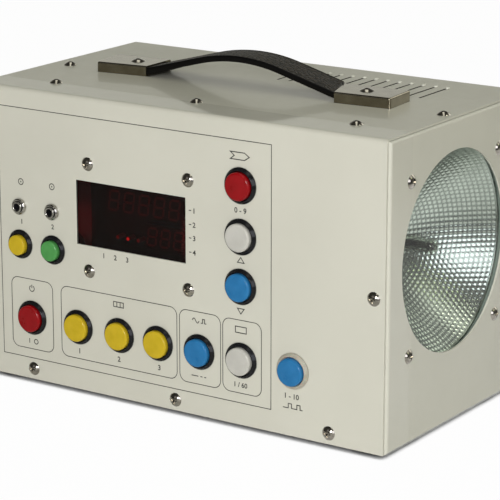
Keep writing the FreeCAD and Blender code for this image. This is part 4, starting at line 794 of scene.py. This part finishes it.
printLook = {"line": 0.38, "stroke": 0.46, "lift": 0.03, "corner": 4.0, "bold": 0.07, "dot": 0.7}
printBoxes = [(20.5, 46.6, 16.5, 53.0), (51.9, 122.5, 16.6, 52.9), (124.1, 148.0, 16.6, 52.9),
              (149.3, 171.4, 16.6, 52.9)]
printBorder = (14.5, 176.8, 11.7, 140.1)
capShare = 0.73
printTexts = [
    # text, middle x, middle z, height in mm
    ("1", 28.0, 82.2, 2.5), ("2", 47.5, 82.2, 2.5),
    ("1", 133.0, 102.4, 2.6), ("2", 133.0, 95.5, 2.6), ("3", 133.0, 88.9, 2.6), ("4", 133.0, 81.9, 2.6),
    ("1", 79.0, 72.2, 2.6), ("2", 86.0, 72.2, 2.6), ("3", 93.2, 72.2, 2.6),
    ("1", 63.0, 20.7, 2.7), ("2", 87.4, 20.7, 2.7), ("3", 111.8, 20.7, 2.7),
    ("1 / 60", 159.7, 20.7, 2.5), ("0 - 9", 159.5, 106.4, 2.7), ("1 - 10", 188.6, 20.4, 2.6),
]


def strip(places, width, closed):
    # A flat line of even width: each place is moved to both sides along its mitred normal.
    places = np.array(places, float)
    if closed:
        before, after = np.roll(places, 1, 0), np.roll(places, -1, 0)
    else:
        before, after = np.vstack([places[:1], places[:-1]]), np.vstack([places[1:], places[-1:]])
    first, second = places - before, after - places
    if not closed:
        first[0], second[-1] = second[0], first[-1]
    first /= np.linalg.norm(first, axis=1)[:, None]
    second /= np.linalg.norm(second, axis=1)[:, None]
    side = np.stack([-(first + second)[:, 1], (first + second)[:, 0]], -1)
    side /= np.maximum(np.einsum("ij,ij->i", side, side) / 2, 1e-6)[:, None]
    rim = np.stack([places - side * width / 2, places + side * width / 2])
    return rim.reshape(-1, 2), gridFaces(2, len(places), False, closed)


def roundedBox(left, right, low, high, radius):
    corners = [(right - radius, low + radius, -90), (right - radius, high - radius, 0),
               (left + radius, high - radius, 90), (left + radius, low + radius, 180)]
    places = []
    for x, z, start in corners:
        places += roundedCorner((x, z), radius, start, start + 90, 7)
    return places


def textOutline(text, x, z, height):
    # built-in lettering turned to a flat mesh and set by its middle; cap height is the given one
    curve = bpy.data.curves.new("mark", "FONT")
    curve.body = text
    curve.size = height / capShare
    curve.offset = printLook["bold"]
    curve.resolution_u = 3
    holder = addObject("mark", curve)
    mesh = bpy.data.meshes.new_from_object(holder.evaluated_get(bpy.context.evaluated_depsgraph_get()))
    places = vertexPlaces(mesh)[:, :2]
    middle = (places.min(0) + places.max(0)) / 2
    faces = [tuple(face.vertices) for face in mesh.polygons]
    bpy.data.objects.remove(holder)
    bpy.data.curves.remove(curve)
    bpy.data.meshes.remove(mesh)
    return places - middle + np.array([x, z]), faces


def panelMarks():
    # places and whether the line closes: pointer, power symbol, stroke and ring, wave, step, dashes, three
    # cells, frame, two arrowheads, two rings with dots, pulse train and four ticks
    wave = [(x, 48.4 + 1.1 * math.sin((x - 131.6) * math.pi / 2)) for x in np.linspace(131.6, 135.6, 24)]
    marks = [
        ([(153.9, 130.7), (161.9, 130.7), (164.5, 132.45), (161.9, 134.2), (153.9, 134.2),
          (156.1, 132.45)], True),
        (roundedCorner((33.4, 48.2), 1.5, 120, 420, 20), False), ([(33.4, 48.4), (33.4, 50.2)], False),
        ([(31.2, 19.4), (31.2, 21.8)], False), (roundedCorner((35.4, 20.6), 1.2, 0, 342, 20), True),
        (wave, False),
        ([(136.6, 47.6), (137.6, 47.6), (137.6, 49.6), (138.8, 49.6), (138.8, 47.6), (139.8, 47.6)], False),
        ([(131.0, 20.6), (135.0, 20.6)], False), ([(136.2, 20.6), (137.4, 20.6)], False),
        ([(138.4, 20.6), (139.6, 20.6)], False),
        ([(84.5, 47.4), (84.5, 49.9), (90.5, 49.9), (90.5, 47.4)], True),
        ([(86.5, 47.4), (86.5, 49.9)], False), ([(88.5, 47.4), (88.5, 49.9)], False),
        ([(156.6, 46.6), (162.8, 46.6), (162.8, 49.6), (156.6, 49.6)], True),
    ]
    for x, z, way in ((159.7, 82.3, 1), (159.7, 57.4, -1)):
        tip = [(x - 1.9, z - way * 1.2), (x, z + way * 1.4), (x + 1.9, z - way * 1.2)]
        marks.append((tip[::way], True))
    for x in (28.0, 47.5):
        marks.append((roundedCorner((x, 102.6), 1.5, 0, 345, 24), True))
    marks.append(([(183.6, 14.4), (186.6, 14.4), (186.6, 16.6), (188.4, 16.6), (188.4, 14.4), (191.4, 14.4),
                   (191.4, 16.6), (193.2, 16.6), (193.2, 14.4), (194.6, 14.4)], False))
    marks += [([(130.0, z), (131.4, z)], False) for z in (102.4, 95.5, 88.9, 81.9)]
    return marks


def makePrint(material):
    look = printLook
    left, right, low, high = printBorder
    frames = [roundedBox(*box, look["corner"]) for box in printBoxes]
    frames.append([(left, low), (right, low), (right, high), (left, high)])
    lines = [strip(frame, look["line"], True) for frame in frames]
    lines += [strip(places, look["stroke"], closed) for places, closed in panelMarks()]
    lines += [strip([(x - look["dot"] / 2, 102.6), (x + look["dot"] / 2, 102.6)], look["dot"], False)
              for x in (28.0, 47.5)]
    flat, faces, start = [], [], 0
    for shape, shapeFaces in lines + [textOutline(*entry) for entry in printTexts]:
        flat.append(shape)
        faces += [tuple(int(k) + start for k in face) for face in shapeFaces]
        start += len(shape)
    x, z = np.concatenate(flat).T
    points = onCase(x, -look["lift"], z)
    mesh = newMesh("panelPrint", points, faces)
    normals = np.zeros(len(mesh.polygons) * 3)
    mesh.polygons.foreach_get("normal", normals)
    turned = [face[::-1] if normals[3 * i + 1] > 0 else face for i, face in enumerate(faces)]
    mesh.clear_geometry()
    mesh.from_pydata(points.tolist(), [], turned)
    placePiece(mesh, material)
    print("print:", len(turned), "faces")


# numeric display

digitLook = {"face": 5.0, "proud": 0.05, "lean": 0.14, "segment": 1.05, "gap": 0.25}
digitRows = [
    # middle x, middle z, digits, pitch, digit width, digit height
    (100.0, 99.5, 5, 9.0, 5.6, 9.6),
    (112.5, 84.5, 3, 7.8, 5.0, 8.6),
]
glowLook = {"places": (82.4, 88.6, 94.8), "z": 80.6,
            "profile": [(0, -6.9), (0.6, -6.8), (0.85, -6.98), (0, -6.98)]}


def digitSegments(x, z, width, height):
    # Seven pointed bars: each is a strip with a diamond end, leaned to the right.
    half, tall = width / 2, height / 2
    gap = digitLook["gap"] + digitLook["segment"] / 2
    bars = [((-half + gap, tall), (half - gap, tall)), ((-half + gap, 0), (half - gap, 0)),
            ((-half + gap, -tall), (half - gap, -tall))]
    bars += [((side * half, low + gap), (side * half, low + tall - gap))
             for side in (-1, 1) for low in (-tall, 0)]
    shapes = []
    for (x0, z0), (x1, z1) in bars:
        along = np.array([x1 - x0, z1 - z0])
        along /= np.linalg.norm(along)
        side = np.array([-along[1], along[0]]) * digitLook["segment"] / 2
        start, end = np.array([x0, z0]), np.array([x1, z1])
        tip = along * digitLook["segment"] / 2
        ring = np.array([start - tip, start - side, end - side, end + tip, end + side, start + side])
        ring[:, 0] += ring[:, 1] * digitLook["lean"]
        shapes.append(ring + np.array([x, z]))
    return shapes


def makeDigits(material, glow):
    rings = []
    for middle, height, count, pitch, width, tall in digitRows:
        for k in range(count):
            rings += digitSegments(middle + (k - (count - 1) / 2) * pitch, height, width, tall)
    places = np.concatenate(rings)
    points = onCase(places[:, 0], digitLook["face"] - digitLook["proud"], places[:, 1])
    mesh = newMesh("digitSegments", points, np.arange(len(places)).reshape(-1, 6).tolist())
    placePiece(mesh, material)
    look = glowLook
    for name, x, lit in zip(("leftGlow", "middleGlow", "rightGlow"), look["places"], glow):
        makePiece(name, *turnedPart(look["profile"], x, look["z"], 20), lit, "lamp_red")


# floor and world

floorLook = {"reach": 6.0, "colour": "#f2f2f0", "white": 0.975, "paintedCreviceShade": "#48494b", "crevices": 0.006,
             "litMiddle": (0.25, 0.12, 0), "litFade": (0.12, 0.32), "litFar": 0.05, "litFront": (-0.26, -0.06),
             "litNear": 0.06, "seen": (0.14, 0.42), "beyond": "#4a4d4e", "beyondX": (0.28, 0.4),
             "beyondY": (0.0, 0.15)}


def makeFloor():
    # White to the camera, and to polished parts where it is lit beside and behind the case: the white fades
    # away from there and towards the front. Crevices under the case stay dark: the white is held back where
    # little sky is seen, and there the table's own colour is painted dark too, a painted shade. For polished
    # parts the pale table also ends a little way to the right of the lamp.
    look = floorLook
    corners = np.array([(-1, -1, 0), (1, -1, 0), (1, 1, 0), (-1, 1, 0)]) * look["reach"]
    mesh = newMesh("table", corners, [(0, 1, 2, 3)])
    addObject("table", mesh)
    material, tree, shader = startMaterial("paleTable", {"Roughness": 0.8})
    shown = addNode(tree, "LightPath").outputs
    where = ownPlace(tree)
    aside, depth, _ = axes(tree, where)
    away = measure(tree, "DISTANCE", where, look["litMiddle"])
    lit = times(tree, steps(tree, depth, *look["litFront"], look["litNear"], 1.0),
               steps(tree, away, *look["litFade"], 1.0, look["litFar"]))
    seen = calc(tree, "MAXIMUM", shown["Is Camera Ray"], times(tree, shown["Is Glossy Ray"], lit))
    opening = addNode(tree, "AmbientOcclusion", {"Distance": look["crevices"]}).outputs["AO"]
    clear = steps(tree, opening, *look["seen"])
    ended = times(tree, steps(tree, aside, *look["beyondX"]),
                 steps(tree, depth, *look["beyondY"], 1.0, 0.0))
    ended = times(tree, ended, shown["Is Glossy Ray"])
    # painted shade: the table's own colour goes dark where little sky is seen
    pale = blendColours(tree, clear, look["paintedCreviceShade"], look["colour"])
    feed(shader, "Base Color", blendColours(tree, ended, pale, look["beyond"]))
    share = times(tree, seen, times(tree, clear, look["white"]))
    white = addNode(tree, "Emission", {"Color": (1, 1, 1, 1), "Strength": 1.0})
    feed(tree.nodes["Material Output"], "Surface", mixShaders(tree, share, shader, white).outputs[0])
    mesh.materials.append(material)


room = {
    "dim": 0.07, "backdrop": 0.66, "wall": 0.24, "diffuse": 0.16, "strip": 1.6, "stripHalf": (0.1, 0.16),
    # where each starts and is full, as the ray's x, y or z
    "backdropY": (-0.1, 0.4), "backdropZ": (0.25, 0.6), "backdropX": (0.1, 0.4), "stripZ": (0.7, 0.8),
    "wallXYZ": ((0.08, 0.28), (-0.3, 0.1), (0.36, 0.46)), "wallTop": (0.72, 0.88),
    # direction, cosines of the outer and inner edge, level; the first one is the brightest and coolest
    "softboxes": [((0.85, -0.47, 0.21), 0.94, 0.955, 3.0), ((0.24, 0.87, 0.42), 0.95, 0.965, 1.4),
                  ((0.65, 0.31, 0.69), 0.96, 0.975, 0.8)],
    "white": "#ffffff", "scattered": "#f9f9e4", "mirrored": "#fdfdf2", "coolBox": "#f4f6ff",
}


def makeWorld():
    # White to the camera and through glass. Polished parts see a white backdrop low behind the case, a strip
    # light running overhead from front to back, a pale wall on the right, three round softboxes and else a
    # dim room: level = room + backdrop * (how far back) * (how low) * (how far left) + strip + wall + boxes.
    world = bpy.data.worlds.new("studio")
    world.use_nodes = True
    bpy.context.scene.world = world
    tree = world.node_tree
    shown = addNode(tree, "LightPath").outputs
    clear = calc(tree, "MAXIMUM", shown["Is Camera Ray"], shown["Is Transmission Ray"])
    ray = addNode(tree, "TexCoord").outputs["Generated"]
    way = axes(tree, ray)
    back = times(tree, steps(tree, way["Y"], *room["backdropY"]),
                steps(tree, way["Z"], *room["backdropZ"], 1.0, 0.0))
    back = times(tree, back, steps(tree, way["X"], *room["backdropX"], 1.0, 0.2))
    mirrored = steps(tree, back, 0.0, 1.0, room["dim"], room["backdrop"])
    turn = math.radians(view["azimuth"])
    sideways = times(tree, way["X"], math.cos(turn))
    sideways = calc(tree, "ABSOLUTE", calc(tree, "MULTIPLY_ADD", way["Y"], math.sin(turn), sideways))
    overhead = steps(tree, sideways, *room["stripHalf"], room["strip"], 0.0)
    mirrored = calc(tree, "MULTIPLY_ADD", overhead, steps(tree, way["Z"], *room["stripZ"]), mirrored)
    wall = steps(tree, way["Z"], *room["wallTop"], 1.0, 0.0)
    for axis, edges in zip(way, room["wallXYZ"]):
        wall = times(tree, wall, steps(tree, axis, *edges))
    mirrored = calc(tree, "MULTIPLY_ADD", wall, room["wall"], mirrored)
    boxes = []
    for aim, edge, inner, bright in room["softboxes"]:
        near = measure(tree, "DOT_PRODUCT", ray, Vector(aim).normalized())
        boxes.append(steps(tree, near, edge, inner, 0.0, bright))
        mirrored = calc(tree, "ADD", boxes[-1], mirrored)
    level = mixLevels(tree, shown["Is Glossy Ray"], room["diffuse"], mirrored)
    level = mixLevels(tree, clear, level, 1.0)
    colour = blendColours(tree, shown["Is Diffuse Ray"], room["white"], room["scattered"])
    cool = blendColours(tree, boxes[0], room["mirrored"], room["coolBox"])
    colour = blendColours(tree, shown["Is Glossy Ray"], colour, cool)
    background = tree.nodes["Background"]
    feed(background, "Color", colour)
    feed(background, "Strength", level)


# dressing of the carried-over parts

dressing = {
    "powderCoat": "wrap_cover lamp_end_plate plain_end_plate",
    "zincSheet": "base_tray top_rail lamp_retainer lamp_spacers lamp_pillars socket_plate main_board_pillars "
                 "display_pillars",
    "nickelScrew": "case_screws display_screws board_screws lamp_screws socket_screws handle_screws "
                   "handle_nuts",
    "nickelSheet": "handle_cap_left handle_cap_right",
    "nickelNut": "jack_nuts",
    "blackMoulding": "jack_bodies button_nuts tube_socket trigger_coil power_inlet fuse_holder fuse_cap",
    "rubber": "rubber_feet",
    "greySilicone": "glass_gasket",
    "springSteel": "handle_core",
    "solderMask": "display_board main_board",
    "numeralBlock": "digit_displays",
    "redAcrylic": "display_window",
    "lampGlass": "front_glass",
    "tubeGlass": "xenon_tube",
    "electrodeMetal": "tube_electrodes",
    "laminations": "transformer_core",
    "windingTape": "transformer_winding",
    "shrinkSleeve": "flash_capacitors",
    "blade": "inlet_pins",
    "lampEpoxy": "indicator_lamps",
}

makeCamera()
makeLamps()
makeFloor()
makeWorld()
print("camera, lamps, table and world")
made = {}
for name in finishes:
    made[name] = makePowderCoat() if name == "powderCoat" else makeFinish(name)[0]
for name, look in glasses.items():
    made[name] = makeClearGlass(name, look)
made["peenedAluminium"] = makeReflectorMetal()
made["embossedVinyl"] = makeStrapVinyl()
made["screenInk"] = makeInk()
for name in glows:
    made[name] = makeGlow(name)
for name, nodes in dressing.items():
    for node in nodes.split():
        mesh = frame["nodes"][node].data
        mesh.materials.clear()
        mesh.materials.append(made[name])
print("materials:", len(made))
makeReflector(made["peenedAluminium"])
makeStrap(made["embossedVinyl"])
makeHeel(made["embossedVinyl"])
makeButtons(made)
makeVentNibs(made["nibHighlightCoat"])
makeJackCollars(made["nickelNut"])
makePrint(made["screenInk"])
makeDigits(made["segmentEpoxy"], (made["dimDiode"], made["litDiode"], made["dimDiode"]))
bpy.context.scene.view_settings.view_transform = "Standard"
